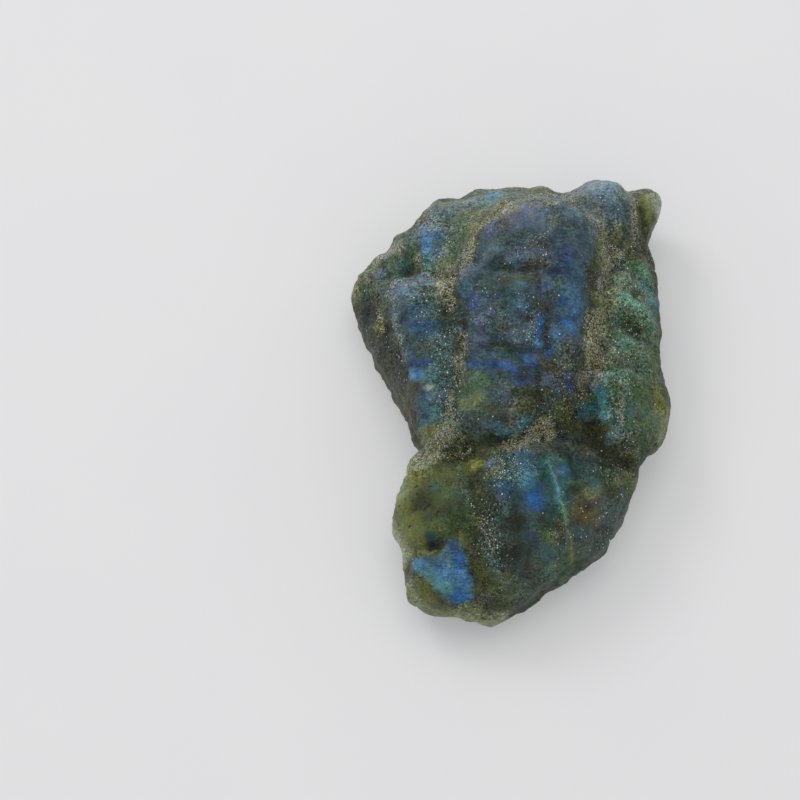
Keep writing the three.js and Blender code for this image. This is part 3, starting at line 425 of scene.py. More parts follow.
    ("sea green", 5.8, -11.3, 1.2, 0.6, 0, 0.7), ("teal", 4.5, -12.5, 0.9, 1.7, 0, 0.9),
    ("haze", -2.8, -9.1, 0.8, 0.6, 0, 0.9), ("olive", -2.4, -10.6, 1.0, 0.6, 0, 0.7),
    ("dark olive", -3.7, -11.2, 0.9, 1.0, 0, 0.9), ("bright yellow", -4.1, -9.1, 0.8, 1.0, -10, 1.0),
    ("dark olive", -5.2, -8.0, 1.3, 0.6, 0, 0.8), ("yellow olive", -7.0, -7.9, 1.3, 0.8, 0, 0.8),
    ("dark olive", -3.0, -7.9, 1.4, 0.8, 0, 0.9),
    # its blue middle
    ("deep teal", -1.6, -12.6, 2.2, 1.4, 0, 0.9), ("steel blue", -1.1, -12.4, 1.5, 1.2, 0, 0.9),
    ("bright blue", -1.2, -12.2, 1.0, 0.7, 0, 0.4), ("violet haze", -1.8, -13.6, 1.0, 0.6, 0, 0.5),
    ("deep teal", 0.3, -13.2, 0.7, 1.0, 0, 0.6), ("bright blue", 2.1, -12.9, 1.2, 1.2, 0, 1.0),
    ("bright blue", 2.3, -13.8, 0.9, 0.8, 0, 0.9), ("cyan", 1.0, -11.8, 0.8, 0.7, 0, 0.5),
    ("steel blue", 3.2, -12.6, 0.7, 0.7, 0, 0.8), ("deep teal", 3.4, -14.0, 1.6, 0.9, 0, 0.7),
    ("near black", 6.1, -11.9, 1.0, 0.7, 0, 0.9),
    # its lower part
    ("grey green", 8.9, -11.9, 1.0, 0.5, 10, 0.7), ("near black", 7.4, -11.4, 1.0, 0.6, 0, 0.9),
    ("olive", 7.1, -12.4, 1.0, 0.9, 0, 0.8), ("pale olive", 7.0, -13.0, 0.7, 0.5, 0, 0.8),
    ("grey brown", 8.0, -13.4, 1.7, 1.2, 0, 0.9), ("ochre", 7.6, -14.4, 1.6, 1.2, 0, 0.5),
    ("brown", 6.1, -15.2, 0.9, 0.9, 0, 0.8), ("grey brown", 8.9, -13.3, 1.0, 1.1, 0, 0.8),
    ("grey brown", 9.3, -15.0, 1.4, 1.3, 0, 0.7), ("ochre", 11.0, -10.6, 1.1, 0.9, 0, 0.6),
    ("olive", 12.4, -9.9, 1.1, 0.9, 0, 0.9), ("dark olive", 11.5, -8.6, 1.1, 0.7, 0, 0.8),
    ("dark green", 9.4, -10.0, 1.1, 1.2, 0, 0.8), ("near black", 9.0, -8.4, 2.0, 1.0, 0, 0.9),
    ("dark olive", 10.4, -11.7, 1.2, 1.0, 0, 0.9), ("slate green", 10.3, -14.0, 1.0, 1.1, 0, 0.7),
    ("moss green", 3.4, -16.6, 1.4, 0.8, 0, 0.9), ("yellow olive", 3.2, -17.3, 0.8, 0.5, 0, 0.8),
    ("brown", 4.9, -16.2, 0.7, 1.3, 0, 0.9), ("indigo", 1.4, -17.2, 1.0, 0.8, 0, 0.6),
    ("dark grey", 0.4, -18.4, 1.4, 0.9, 0, 0.8), ("slate", 6.7, -16.8, 1.3, 0.8, 0, 0.8),
    ("sea green", 6.1, -18.2, 1.2, 0.8, 0, 0.6), ("slate green", 8.2, -17.2, 1.2, 0.9, 0, 0.7),
    ("dark green", 3.8, -15.2, 1.6, 0.6, 0, 0.7), ("dark olive", -3.4, -13.4, 1.6, 2.2, 0, 1.0),
    ("near black", -2.8, -13.8, 1.4, 1.4, 0, 0.6), ("dark grey", -3.0, -16.8, 1.4, 2.0, 0, 0.8),
    ("near black", -0.4, -15.8, 2.2, 1.5, 0, 1.0), ("near black", -1.0, -18.8, 1.9, 1.5, 0, 0.9),
    ("dark grey", 1.4, -20.4, 2.6, 1.2, 10, 0.9), ("sea green", 4.2, -19.8, 1.4, 0.7, 20, 0.5),
    ("olive", -0.8, -21.8, 2.0, 1.3, 0, 0.5), ("grey brown", -3.2, -22.6, 1.0, 0.7, 0, 0.7),
    ("slate green", 1.2, -22.2, 1.6, 0.7, 30, 0.5), ("deep teal", 4.2, -14.3, 0.9, 0.8, 0, 0.8),
    ("dark green", 5.2, -14.2, 0.9, 0.8, 0, 0.6), ("dark grey", 7.0, -17.8, 2.6, 1.3, 30, 0.8),
    ("dark green", 5.6, -19.4, 2.0, 1.0, 30, 0.6), ("near black", 1.0, -18.0, 1.6, 1.2, 0, 0.5),
    ("dark grey", 10.6, -14.4, 1.2, 1.6, -20, 0.6), ("ochre", 7.0, -14.2, 1.3, 1.0, 0, 0.5),
    ("dark green", 7.0, -11.4, 1.2, 0.7, 0, 0.8), ("grey brown", 7.6, -12.9, 1.3, 0.8, 0, 0.6),
    ("pale olive", 7.6, -12.4, 0.9, 0.6, 0, 0.4),
    # the near lobe
    ("yellow olive", -10.4, -9.8, 1.6, 1.4, 0, 0.8), ("olive", -8.2, -9.8, 2.2, 1.1, 0, 0.9),
    ("pale olive", -11.7, -13.6, 0.9, 2.8, 5, 0.8), ("yellow olive", -11.0, -14.4, 0.9, 2.6, 8, 0.8),
    ("pale olive", -11.2, -12.0, 1.2, 1.2, 0, 0.7), ("dark olive", -9.2, -12.4, 2.0, 2.0, 10, 1.0),
    ("olive", -5.6, -9.6, 1.2, 1.0, 0, 0.8), ("sea green", -8.2, -11.3, 1.0, 0.7, 0, 0.5),
    ("moss green", -7.2, -12.3, 1.5, 1.0, 0, 0.9), ("slate green", -5.5, -12.2, 1.2, 1.6, 0, 0.6),
    ("dark green", -7.4, -14.8, 2.2, 1.4, 0, 0.9), ("dark olive", -7.0, -14.2, 1.6, 1.0, 0, 0.7),
    ("moss green", -7.3, -16.7, 1.5, 0.8, 0, 0.8), ("dark green", -4.9, -14.4, 1.3, 1.8, 0, 0.8),
    ("deep teal", -9.0, -16.6, 0.8, 0.7, 0, 1.0), ("near black", -9.2, -17.4, 0.9, 0.32, 5, 1.0),
    ("yellow olive", -10.1, -17.2, 0.6, 0.7, 0, 0.9), ("pale olive", -9.8, -18.0, 0.9, 0.3, 0, 0.7),
    # The white on the lobe's rim at the end of the next line, and the pale and bright edges on the line
    # after, are partly its pale thin edge and partly painted rim light.
    ("grey brown", -11.5, -18.0, 0.7, 1.0, 0, 0.8), ("white", -13.2, -16.0, 1.1, 1.3, 0, 0.9),
    ("pale edge", -13.8, -13.0, 0.8, 2.2, 0, 0.4), ("bright edge", -9.4, -8.6, 1.4, 0.6, 0, 0.9),
    ("bright yellow", -9.5, -9.6, 1.0, 0.6, 0, 0.8), ("dark olive", -6.8, -10.7, 0.8, 0.5, 0, 0.5),
    # the toe
    ("olive", -9.6, -21.8, 1.6, 1.2, -35, 0.9), ("grey brown", -11.0, -20.8, 0.7, 1.6, 0, 0.7),
    ("yellow olive", -9.1, -22.7, 1.2, 0.5, -20, 0.7), ("dark olive", -8.0, -23.3, 1.4, 0.5, 0, 0.9),
    # The pale edges along the toe's rim, on the next two lines, are partly its pale thin edge and partly
    # painted rim light.
    ("olive", -5.8, -23.6, 1.4, 0.4, 0, 0.7), ("pale edge", -5.8, -24.2, 3.0, 1.0, -3, 0.8),
    ("pale edge", -1.6, -24.5, 1.6, 0.8, 10, 1.0), ("dark olive", -4.0, -19.8, 1.0, 2.2, 0, 0.8),
    ("olive", -3.6, -20.8, 0.8, 1.0, 0, 0.6),
]

# The bright flash on the toe: its outline, then the colours that lie in it, as patches.
TOE_FLASH = [(-11.1, -18.6), (-9.8, -18.7), (-8.6, -18.9), (-7.4, -17.9), (-6.7, -16.9), (-6.0, -17.4),
             (-5.4, -18.8), (-5.2, -20.0), (-4.6, -21.2), (-4.5, -22.8), (-6.4, -23.1), (-7.6, -22.5),
             (-8.6, -21.5), (-9.6, -20.6), (-10.6, -19.7)]
TOE_FLASH_PATCHES = [
    ("light blue", -10.4, -19.1, 1.0, 0.7, -20, 0.9), ("steel blue", -8.2, -19.0, 1.8, 0.8, 0, 1.0),
    ("steel blue", -6.6, -17.8, 0.8, 0.9, 0, 0.9), ("indigo", -6.7, -17.6, 0.8, 0.8, 0, 0.8),
    ("light blue", -7.2, -20.5, 1.4, 0.8, -20, 0.8), ("cyan", -7.5, -21.7, 1.1, 0.6, -10, 0.7),
    ("bright blue", -6.0, -19.0, 0.9, 0.9, 0, 1.0), ("bright blue", -5.8, -20.0, 0.8, 0.6, 0, 0.7),
    ("light blue", -5.5, -21.1, 1.1, 1.0, 0, 0.9), ("bright blue", -5.9, -22.5, 1.6, 0.7, -5, 1.0),
]

# Veins and edges of colour along a line: colour, half width, strength, points.
VEINS = [
    ("pale olive", 0.35, 0.7, [(-1.2, 19.8), (-2.2, 18.8), (-3.0, 18.1), (-3.8, 17.2), (-4.2, 16.4)]),
    ("pale grey", 0.45, 0.6, [(-4.2, 16.4), (-4.8, 14.8), (-5.2, 13.4), (-6.0, 12.2)]),
    ("pale haze", 0.25, 0.8, [(-13.0, 11.6), (-11.8, 12.0), (-10.4, 12.2), (-9.0, 12.1)]),
    ("haze", 0.3, 0.5, [(-12.9, 10.6), (-12.4, 8.0), (-11.9, 5.4), (-11.4, 3.4)]),
    # The pale and bright edges on the next six lines lie on the rim: partly the stone's pale thin edge,
    # partly painted rim light.
    ("pale edge", 0.6, 0.8, [(-16.4, 15.2), (-17.2, 14.0), (-17.3, 12.8)]),
    ("bright edge", 0.7, 0.9, [(-8.4, -7.8), (-10.4, -7.6), (-11.8, -9.0), (-12.6, -11.4)]),
    ("bright edge", 0.5, 0.5, [(-12.8, -11.4), (-13.2, -13.4)]),
    ("bright edge", 0.8, 1.0, [(-13.2, -14.6), (-12.8, -16.2), (-11.6, -18.0)]),
    ("pale edge", 0.6, 0.9, [(-11.6, -21.0), (-11.0, -22.2), (-9.4, -23.6), (-6.4, -24.6), (-3.0, -24.8)]),
    ("pale edge", 0.4, 0.5, [(17.0, -1.0), (16.7, -3.0), (15.8, -4.8)]),
    ("dark olive", 0.35, 0.8, [(9.3, 4.6), (10.2, 3.0), (11.0, 2.2), (12.2, 1.8)]),
    ("near black", 0.25, 0.9, [(11.9, 14.2), (11.4, 13.6), (10.8, 12.5)]),
    ("pale grey", 0.3, 0.6, [(13.3, 22.6), (13.3, 19.6), (13.2, 16.6)]),
    ("pale grey", 0.2, 0.6, [(11.0, -2.4), (11.2, -3.6), (11.4, -4.8)]),
    ("slate", 0.3, 0.5, [(-3.0, 1.9), (-1.8, 1.9)]),
    ("pale grey", 0.25, 0.4, [(-0.1, -3.0), (-0.6, -4.8)]),
    ("haze teal", 0.25, 0.3, [(3.4, -9.0), (3.9, -10.6), (4.2, -11.5)]),
    ("cyan", 0.24, 0.4, [(4.1, -11.0), (4.5, -12.2), (4.8, -13.0)]),
    ("sea green", 0.3, 0.8, [(5.0, -13.8), (5.2, -14.6), (5.5, -15.4)]),
    ("pale olive", 0.25, 0.8, [(5.6, -16.4), (5.8, -17.6), (6.0, -18.7)]),
    ("near black", 0.9, 0.9, [(2.6, -7.6), (5.5, -6.7), (7.4, -7.4), (9.0, -7.9)]),
    ("near black", 0.3, 0.7, [(4.6, -20.4), (2.6, -21.9), (0.4, -23.2)]),
]

# The thin pale vein across the near block.
PALE_VEIN = [(3.4, -9.2), (4.1, -11.2), (4.7, -13.2), (5.3, -15.1), (5.6, -16.4)]

# Bands where the feldspar is crushed to pale grains: half width, density, points.
CRUSHED = [
    (0.55, 1.0, [(-0.7, 20.0), (-2.0, 18.4), (-3.4, 17.3), (-4.2, 16.0)]),
    (0.8, 0.85, [(-4.8, 15.4), (-5.6, 13.2), (-6.6, 11.8), (-6.9, 10.0), (-6.2, 8.4)]),
    (0.4, 0.6, [(-1.4, 19.4), (1.0, 20.6), (4.0, 20.6), (6.3, 21.6)]),
    (0.5, 0.4, [(2.4, 22.2), (5.6, 22.6)]),
    (0.5, 0.8, [(6.2, 22.0), (7.3, 19.6), (8.2, 18.4)]),
    (0.35, 0.8, [(13.7, 22.4), (13.6, 19.6), (13.9, 16.4)]),
    (1.1, 1.0, [(10.0, 16.8), (10.9, 15.4), (10.8, 13.4)]),
    (0.9, 0.35, [(11.6, 17.0), (13.4, 15.8), (14.8, 15.6)]),
    (0.6, 0.5, [(10.4, 12.8), (9.6, 10.4), (9.0, 8.0)]),
    (1.0, 0.9, [(8.9, 7.0), (8.7, 5.0), (8.9, 2.6), (8.3, 0.8)]),
    (0.9, 0.4, [(10.2, 8.8), (10.0, 5.6), (10.2, 2.6)]),
    (0.6, 0.5, [(8.4, 0.8), (6.9, 0.2), (7.6, -1.4), (5.8, -3.2)]),
    (0.65, 1.4, [(3.9, -5.2), (3.0, -5.7), (1.0, -6.6), (-1.0, -7.3)]),
    (0.7, 0.45, [(-2.2, -8.2), (-1.6, -9.4), (-2.0, -10.4)]),
    (0.7, 0.55, [(-3.9, -15.4), (-2.8, -17.2), (-2.4, -18.6)]),
    (0.5, 0.7, [(-5.2, 4.4), (-5.7, 1.8), (-6.0, -0.6), (-6.6, -3.4)]),
    (0.9, 0.75, [(-6.8, -3.6), (-6.9, -5.4), (-8.2, -6.4)]),
    (0.5, 0.7, [(-10.2, -7.9), (-8.8, -8.4), (-7.0, -8.0), (-4.8, -7.8)]),
    (0.35, 0.9, [(-10.4, 15.2), (-10.0, 13.8), (-9.0, 12.7), (-7.8, 12.2)]),
    (0.3, 0.55, [(-13.0, 11.4), (-12.6, 9.4), (-12.2, 6.0), (-11.6, 3.0)]),
    (0.5, 0.8, [(-14.4, 9.4), (-14.1, 7.4)]),
    (0.5, 0.8, [(-12.4, 16.7), (-14.8, 15.6)]),
    (0.3, 0.6, [(-13.0, 11.5), (-11.6, 12.1), (-10.1, 12.4)]),
    (0.8, 0.4, [(-9.0, 18.4), (-7.6, 18.4), (-6.6, 16.4)]),
    (0.4, 0.85, [(11.2, -2.2), (11.4, -3.8), (11.7, -5.6)]),
    (0.5, 0.25, [(12.4, -6.4), (13.8, -6.9)]),
    (0.5, 0.5, [(4.8, -15.0), (5.6, -16.6), (3.4, -16.6)]),
    (0.4, 0.5, [(-0.6, 13.4), (1.6, 13.6), (3.2, 14.6)]),
    (0.4, 0.5, [(1.9, 4.4), (2.6, 6.0)]),
    (0.8, 0.4, [(5.4, 1.4), (6.6, 1.0)]),
]

# Places dusted with finer, paler grains that don't cover the colour below: radius, density, points.
DUSTED = [
    (1.4, 0.9, [(-7.6, 4.6), (-7.0, 1.0), (-7.0, -2.6)]),
    (1.2, 0.5, [(-9.6, 9.6), (-9.0, 6.0)]),
    (1.5, 1.2, [(-0.6, -8.6), (0.4, -10.2), (-1.6, -11.0)]),
    (1.2, 1.1, [(-4.0, -13.8), (-3.2, -16.4), (-2.6, -19.0)]),
    (1.2, 0.6, [(0.6, 8.0), (1.8, 6.0), (1.6, 4.0)]),
    (1.2, 0.5, [(-3.8, 8.2), (-3.0, 5.4)]),
    (1.4, 0.5, [(0.0, 13.4), (3.0, 13.0)]),
    (1.8, 0.6, [(12.6, 12.0), (12.6, 6.0), (12.0, 0.0)]),
    (1.2, 0.4, [(9.6, -9.0), (11.4, -9.4)]),
    (1.2, 0.6, [(10.6, -2.0), (11.6, -5.6)]),
    (1.6, 0.5, [(5.4, -17.6), (9.6, -14.4)]),
    (1.6, 0.6, [(-1.0, -6.6), (2.6, -4.4), (5.6, -1.0), (5.0, 2.4)]),
    (1.6, 0.6, [(-8.8, 18.6), (-7.0, 16.0), (-8.8, 14.6)]),
    (1.2, 0.2, [(-15.2, 11.0), (-13.6, 6.0), (-12.0, 0.6)]),
    (1.4, 0.5, [(9.6, 22.0), (11.6, 19.0)]),
    (1.2, 0.6, [(1.0, 20.4), (6.0, 21.6)]),
]

# Smooth waxy places, where the grain is faint: middle x and y, radius, strength.
WAXY = [(-11.0, -12.0, 3.0, 1.0), (-10.0, -16.0, 2.6, 0.8), (-6.6, -12.4, 2.6, 0.7), (-9.0, -22.0, 2.2, 0.7),
        (8.4, -13.4, 2.4, 0.8), (1.6, 17.0, 2.6, 0.9), (-3.0, 12.6, 2.0, 0.5), (15.2, 21.6, 1.8, 0.6),
        (9.6, 22.8, 2.4, 0.4), (-4.4, -2.0, 1.8, 0.8), (1.2, -18.6, 2.6, 0.6), (0.2, 9.4, 1.8, 0.8),
        (6.6, -17.4, 3.0, 0.8), (1.4, -13.8, 2.2, 0.6), (14.0, -3.0, 2.2, 0.6), (5.6, -9.4, 1.8, 0.5)]

# Dark grains sitting in the olive lobe: middle x and y, radius, density.
DARK_GRAINS = [(-10.6, -12.8, 2.2, 0.9), (-7.4, -11.4, 2.2, 0.7), (-8.6, -15.0, 2.0, 0.5),
               (-5.0, -9.6, 1.4, 0.4), (13.0, -5.4, 1.6, 0.3)]

# Colours of the sides and the underside, from the lightest olive to the darkest green, and the size in
# millimetres of the clouds that they lie in.
SIDE_COLOURS = ["olive", "grey green", "dark olive", "deep teal", "near black"]
SIDE_CLOUD = 4.2

# Flashes on the sides: colour, middle x, y and z, radii, strength.
SIDE_FLASHES = [
    ("teal", 15.6, 8.0, 5.0, 2.0, 3.4, 2.4, 0.7), ("sea green", 16.0, 2.0, 4.6, 1.8, 3.0, 1.8, 0.7),
    ("teal", 10.0, -17.0, 3.8, 2.4, 2.4, 1.8, 0.6), ("steel blue", 1.6, -21.6, 3.4, 3.0, 2.0, 1.8, 0.6),
    ("light blue", -8.4, -23.0, 3.0, 2.4, 1.6, 1.4, 0.7), ("haze", -16.4, 12.6, 4.0, 1.6, 2.4, 1.6, 0.5),
    ("steel blue", -13.2, 3.0, 3.6, 1.8, 3.2, 1.6, 0.5), ("deep blue", -8.6, 22.0, 4.6, 3.0, 2.0, 2.0, 0.7),
    ("haze", 9.8, 24.6, 5.0, 3.2, 1.8, 3.0, 0.7), ("teal", 0.6, 24.0, 4.4, 3.2, 1.6, 1.8, 0.5),
    ("bright blue", -3.0, 3.0, 0.0, 4.6, 3.2, 1.0, 0.7), ("teal", 5.0, -9.0, 0.0, 3.6, 4.0, 1.0, 0.6),
    ("sea green", 6.0, 12.0, 0.0, 3.2, 4.6, 1.0, 0.6),
]


# ---- Small helpers: noise, distances and outlines, all on whole arrays ----

def chance(i, j, k):
    """A fixed random number from 0 to 1 for each whole-number place: the fraction of a steep sine."""
    wave = np.sin(i * 127.1 + j * 311.7 + k * 74.7) * 43758.5453
    return wave - np.floor(wave)


def noise(points, size):
    """Smooth noise from -1 to 1: chance at the eight corners of a cell of that size, blended across it."""
    place = points / size
    cell = np.floor(place)
    part = place - cell
    part = part * part * (3 - 2 * part)
    total = 0
    for corner in np.ndindex(2, 2, 2):
        corner = np.array(corner)
        weight = np.prod(np.where(corner, part, 1 - part), axis=1)
        total = total + weight * chance(*(cell + corner).T)
    return 2 * total - 1


def clouds(points, size):
    """Noise of a size with half as much of half the size and a quarter of a quarter, still about -1 to 1."""
    return (noise(points, size) + noise(points, size / 2) / 2 + noise(points, size / 4) / 4) / 1.4


def nearest_seed(points, size):
    """Distance, in cells, to the nearest of the points scattered one in each cell of that size."""
    place = points / size
    cell = np.floor(place)
    nearest = np.full(len(place), np.inf)
    for step in np.ndindex(3, 3, 3):
        i, j, k = (cell + np.array(step) - 1).T
        seed = np.stack([i + chance(i, j, k), j + chance(j, k, i + 9), k + chance(k, i, j + 5)], axis=1)
        nearest = np.minimum(nearest, np.linalg.norm(place - seed, axis=1))
    return nearest


def distance_to_line(x, y, line):
    """Distance from (x, y) to a line of points: the least of the distances to its straight parts."""
    nearest = np.full(x.shape, np.inf)
    for (ax, ay), (bx, by) in zip(line[:-1], line[1:]):
        ex, ey = bx - ax, by - ay
        along = np.clip(((x - ax) * ex + (y - ay) * ey) / (ex * ex + ey * ey), 0, 1)
        nearest = np.minimum(nearest, np.hypot(x - ax - along * ex, y - ay - along * ey))
    return nearest


def distance_outside(x, y, outline):
    """Distance from (x, y) to a closed outline, negative inside, where a ray crosses it an odd number of
    times."""
    closed = list(outline) + [outline[0]]
    inside = np.zeros(x.shape, bool)
    for (ax, ay), (bx, by) in zip(closed[:-1], closed[1:]):
        if ay != by:
            inside ^= ((ay > y) != (by > y)) & (x < ax + (y - ay) / (by - ay) * (bx - ax))
    return np.where(inside, -1, 1) * distance_to_line(x, y, closed)


def ramp(value, low, high):
    """0 below low, 1 above high, and a smooth S between them."""
    t = np.clip((value - low) / (high - low), 0, 1)
    return t * t * (3 - 2 * t)


def bell_at(x, y, middle_x, middle_y, radius, height):
    """A bell curve about a middle: height times e to minus the square of distance over radius."""
    return height * np.exp(-((x - middle_x) ** 2 + (y - middle_y) ** 2) / radius ** 2)


def bell_along(x, y, line, width, height, spread=1):
    """A bell curve along a line: height times e to minus the square of distance over width, over spread."""
    return height * np.exp(-((distance_to_line(x, y, line) / width) ** 2) / spread)


# ---- The stone's surface ----

def relief_height(x, y):
    """Height of the top at (x, y): each hill is a leaning plateau less a flank that grows with the distance
    outside its outline, the hills are joined by the logarithm of their summed exponentials, and bumps and
    folds add a bell curve of the distance to their middle or line."""
    joined = 0
    for hill in HILLS:
        about, lean = hill["about"], hill["lean"]
        plateau = hill["top"] + lean[0] * (x - about[0]) + lean[1] * (y - about[1])
        outside = distance_outside(x, y, hill["outline"])
        flank = hill["fall"] * hill["round"] * np.logaddexp(0, outside / hill["round"])
        joined = joined + np.exp((plateau - flank) / BLEND)
    height = BLEND * np.log(joined)
    for bump in BUMPS:
        height = height + bell_at(x, y, *bump)
    for rise, width, line in FOLDS:
        height = height + bell_along(x, y, line, width, rise)
    return height


def rim_at(around):
    """The rim at a share of the turn from 0 to 1: a closed Catmull-Rom curve through the rim's points."""
    place = around * len(RIM)
    first = np.floor(place).astype(int)
    t = (place - first)[:, None]
    before, start, end, after = (RIM[(first + step) % len(RIM)] for step in (-1, 0, 1, 2))
    leave, arrive = (end - before) / 2, (after - start) / 2
    return (start + leave * t + (3 * (end - start) - 2 * leave - arrive) * t ** 2
            + (2 * (start - end) + leave + arrive) * t ** 3)


def skin_relief(points):
    """How far the skin stands out: two layers of noise, chips that fall off with the square of the distance
    to their seed, and upright lines of noise where x is left of the left edge."""
    out = sum(depth * noise(points, size) for size, depth in LUMPS)
    out = out + CHIPS[1] * (0.3 - nearest_seed(points, CHIPS[0]) ** 2)
    x, y, z = points.T
    spacing = GRAIN_LINES["spacing"]
    on_left_side = 1 / (1 + np.exp((x - GRAIN_LINES["from_x"]) / (0.25 * GRAIN_LINES["fade"])))
    lines = noise(np.stack([(x + y) / spacing, (y - x) / spacing, z / 9], axis=1), 1)
    return out + on_left_side * GRAIN_LINES["depth"] * lines


def section(polar, power):
    """One quarter of the stone's section, from upright at 0 to the rim at a quarter turn: a rounded square
    whose two shares, outward and upward, raised to the power, always add up to one."""
    size = (np.sin(polar) ** power + np.cos(polar) ** power) ** (1 / power)
    return np.sin(polar) / size, np.cos(polar) / size


def even_polar(ring, power, reach, height, middle_share):
    """Polar angle for a ring from 0 to 1, so that rings lie evenly along the section's arc. The flat part
    near the middle counts for middle_share of its length, which packs more rings towards the rim."""
    polar = np.linspace(0, math.pi / 2, 2000)
    outward, upward = section(polar, power)
    steps = np.hypot(np.diff(outward) * reach, np.diff(upward) * height)
    steps *= np.where(outward[1:] < 0.7, middle_share, 1)
    arc = np.concatenate([[0], np.cumsum(steps)])
    return np.interp(ring * arc[-1], arc, polar)


def disc_grid(count):
    """A square grid of count x count places pulled onto a disc: each keeps its ring, the larger of |u| and
    |v|, and its turn is an eighth of a turn times the smaller over the larger, in each of four quarters."""
    line = np.linspace(-1, 1, count)
    u, v = (side.ravel() for side in np.meshgrid(line, line, indexing="ij"))
    ring = np.maximum(abs(u), abs(v))
    across = abs(u) >= abs(v)
    turn = np.where(across, v / np.where(across, u, 1), -u / np.where(across, 1, v)) * math.pi / 4
    turn += np.select([across & (u > 0), ~across & (v > 0), across], [0, math.pi / 2, math.pi],
                      1.5 * math.pi)
    return ring, (turn / (2 * math.pi)) % 1


def sweep(ring, around, is_top):
    """Points of the top or underside in millimetres, before the finer relief. The rim's point is drawn in to
    the axis by the section's outward share. The height goes from the rim towards the relief, or towards a
    plane below the floor, by its upward share. Then the skin relief moves the point the way it faces."""
    power, rings = (SHOULDER, TOP_RINGS) if is_top else (UNDERCUT, UNDERSIDE_RINGS)
    outward, upward = section(even_polar(ring, power, *rings), power)
    rim = rim_at(around)
    radial = rim[:, :2] - AXIS
    xy = AXIS + outward[:, None] * radial
    rise = relief_height(*xy.T) - rim[:, 2] if is_top else -(rim[:, 2] + BASE_DIP)
    points = np.column_stack([xy, rim[:, 2] + rise * upward])
    facing = np.column_stack([
        radial / np.linalg.norm(radial, axis=1)[:, None] * outward[:, None] ** (power - 1),
        (1 if is_top else -1) * upward ** (power - 1)])
    facing /= np.linalg.norm(facing, axis=1)[:, None]
    points += facing * skin_relief(points)[:, None]
    return points


def stone_grid(count):
    """Points and faces of the closed stone: a disc grid for the top and one for the underside, which share
    the points of their outer ring. The underside's faces run the other way round, so all face outwards."""
    ring, around = disc_grid(count)
    shared = ring > 1 - 1e-9
    top = sweep(ring, around, True)
    under = sweep(ring[~shared], around[~shared], False)
    top_index = np.arange(count * count)
    under_index = top_index.copy()
    under_index[~shared] = count * count + np.arange(len(under))
    corners = np.arange((count - 1) * count).reshape(count - 1, count)[:, :-1].ravel()
    square = np.stack([corners, corners + count, corners + count + 1, corners + 1], axis=1)
    faces = np.concatenate([top_index[square], under_index[square][:, ::-1]])
    return np.concatenate([top, under]), faces


def fine_relief(points, facing):
    """Finer height along the normal: small lumps, small chips and, on what faces up, creases and edges whose
    lines wander with noise. It is 0 on the cleavage face that the stone lies on."""
    out = sum(depth * noise(points + 31, size) for size, depth in FINE_LUMPS)
    out = out + sum(depth * (0.3 - nearest_seed(points + 17, size) ** 2) for size, depth in FINE_CHIPS)
    x, y = wander(points, 0.35)
    marks = sum(bell_along(x, y, line, width, rise) for rise, width, line in CREASES)
    out = out + marks * ramp(facing[:, 2], -0.1, 0.4)
    layers = points @ np.array(STEPS["across"]) / STEPS["spacing"] + 0.5 * noise(points + 3, 1.9)
    stepped = ramp(noise(points + 77, STEPS["patch"]), -0.1, 0.35)
    out = out + STEPS["depth"] * stepped * (0.5 - layers + np.floor(layers))
    z = points[:, 2]
    lines = noise(np.column_stack([points[:, :2] @ [[1, -1], [1, 1]] / SIDE_LINES["spacing"],
                                   z / SIDE_LINES["length"]]), 1)
    out = out + SIDE_LINES["depth"] * lines * ramp(-facing[:, 0], 0.45, 0.8)
    return out * ramp(z, 0.0, 0.5)


def wander(points, reach):
    """x and y pushed about by noise of three sizes, so that lines and patches drawn on them look natural."""
    push = [noise(points + shift, 2.3) + noise(points + shift, 0.9) / 2 + noise(points + shift, 0.45) / 3
            for shift in (50, 90)]
    return points[:, 0] + reach * push[0], points[:, 1] + reach * push[1]


def standing_out(points, normals, edges, rounds):
    """How far each point stands out of its surroundings: its distance, along the normal, from where it ends
    up when every point is moved a number of times to the mean of its neighbours along the edges."""
    ends = np.concatenate([edges, edges[:, ::-1]])
    count = np.bincount(ends[:, 0], minlength=len(points))
    smooth = points
    for _ in range(rounds):
        smooth = np.stack([np.bincount(ends[:, 0], weights=smooth[ends[:, 1], axis]) / count
                           for axis in range(3)], axis=1)
    return np.sum((points - smooth) * normals, axis=1)


# ---- The stone's colour and its masks ----

def linear(hex_colour):
    """sRGB hex to linear red, green and blue."""
    parts = np.array([int(hex_colour[i:i + 2], 16) / 255 for i in (1, 3, 5)])
    return np.where(parts <= 0.04045, parts / 12.92, ((parts + 0.055) / 1.055) ** 2.4)


def feldspar(name):
    """Linear colour of the surface of a kind of feldspar: how it looks over the share of light, with its
    distance from grey over the share of colour."""
    looks = linear(FELDSPAR[name]) / SHARE_OF_LIGHT
    grey = looks.mean()
    return np.maximum(grey + (looks - grey) / SHARE_OF_COLOUR, DARKEST)


def blend(colours, name, weight):
    """Colours moved towards a named feldspar colour by a weight for each point."""
    return colours + (feldspar(name) - colours) * np.clip(weight, 0, 1)[:, None]


def patch_weight(x, y, ragged, patch):
    """1 inside a patch's turned oval, falling smoothly to 0 outside it, times its strength. The size of the
    oval changes with the ragged noise, which breaks up its edge."""
    _, cx, cy, rx, ry, degrees, strength = patch
    turn = math.radians(degrees)
    along = ((x - cx) * math.cos(turn) + (y - cy) * math.sin(turn)) / rx
    across = ((y - cy) * math.cos(turn) - (x - cx) * math.sin(turn)) / ry
    return strength * ramp(-np.hypot(along, across) - ragged, -1.35, -0.35)


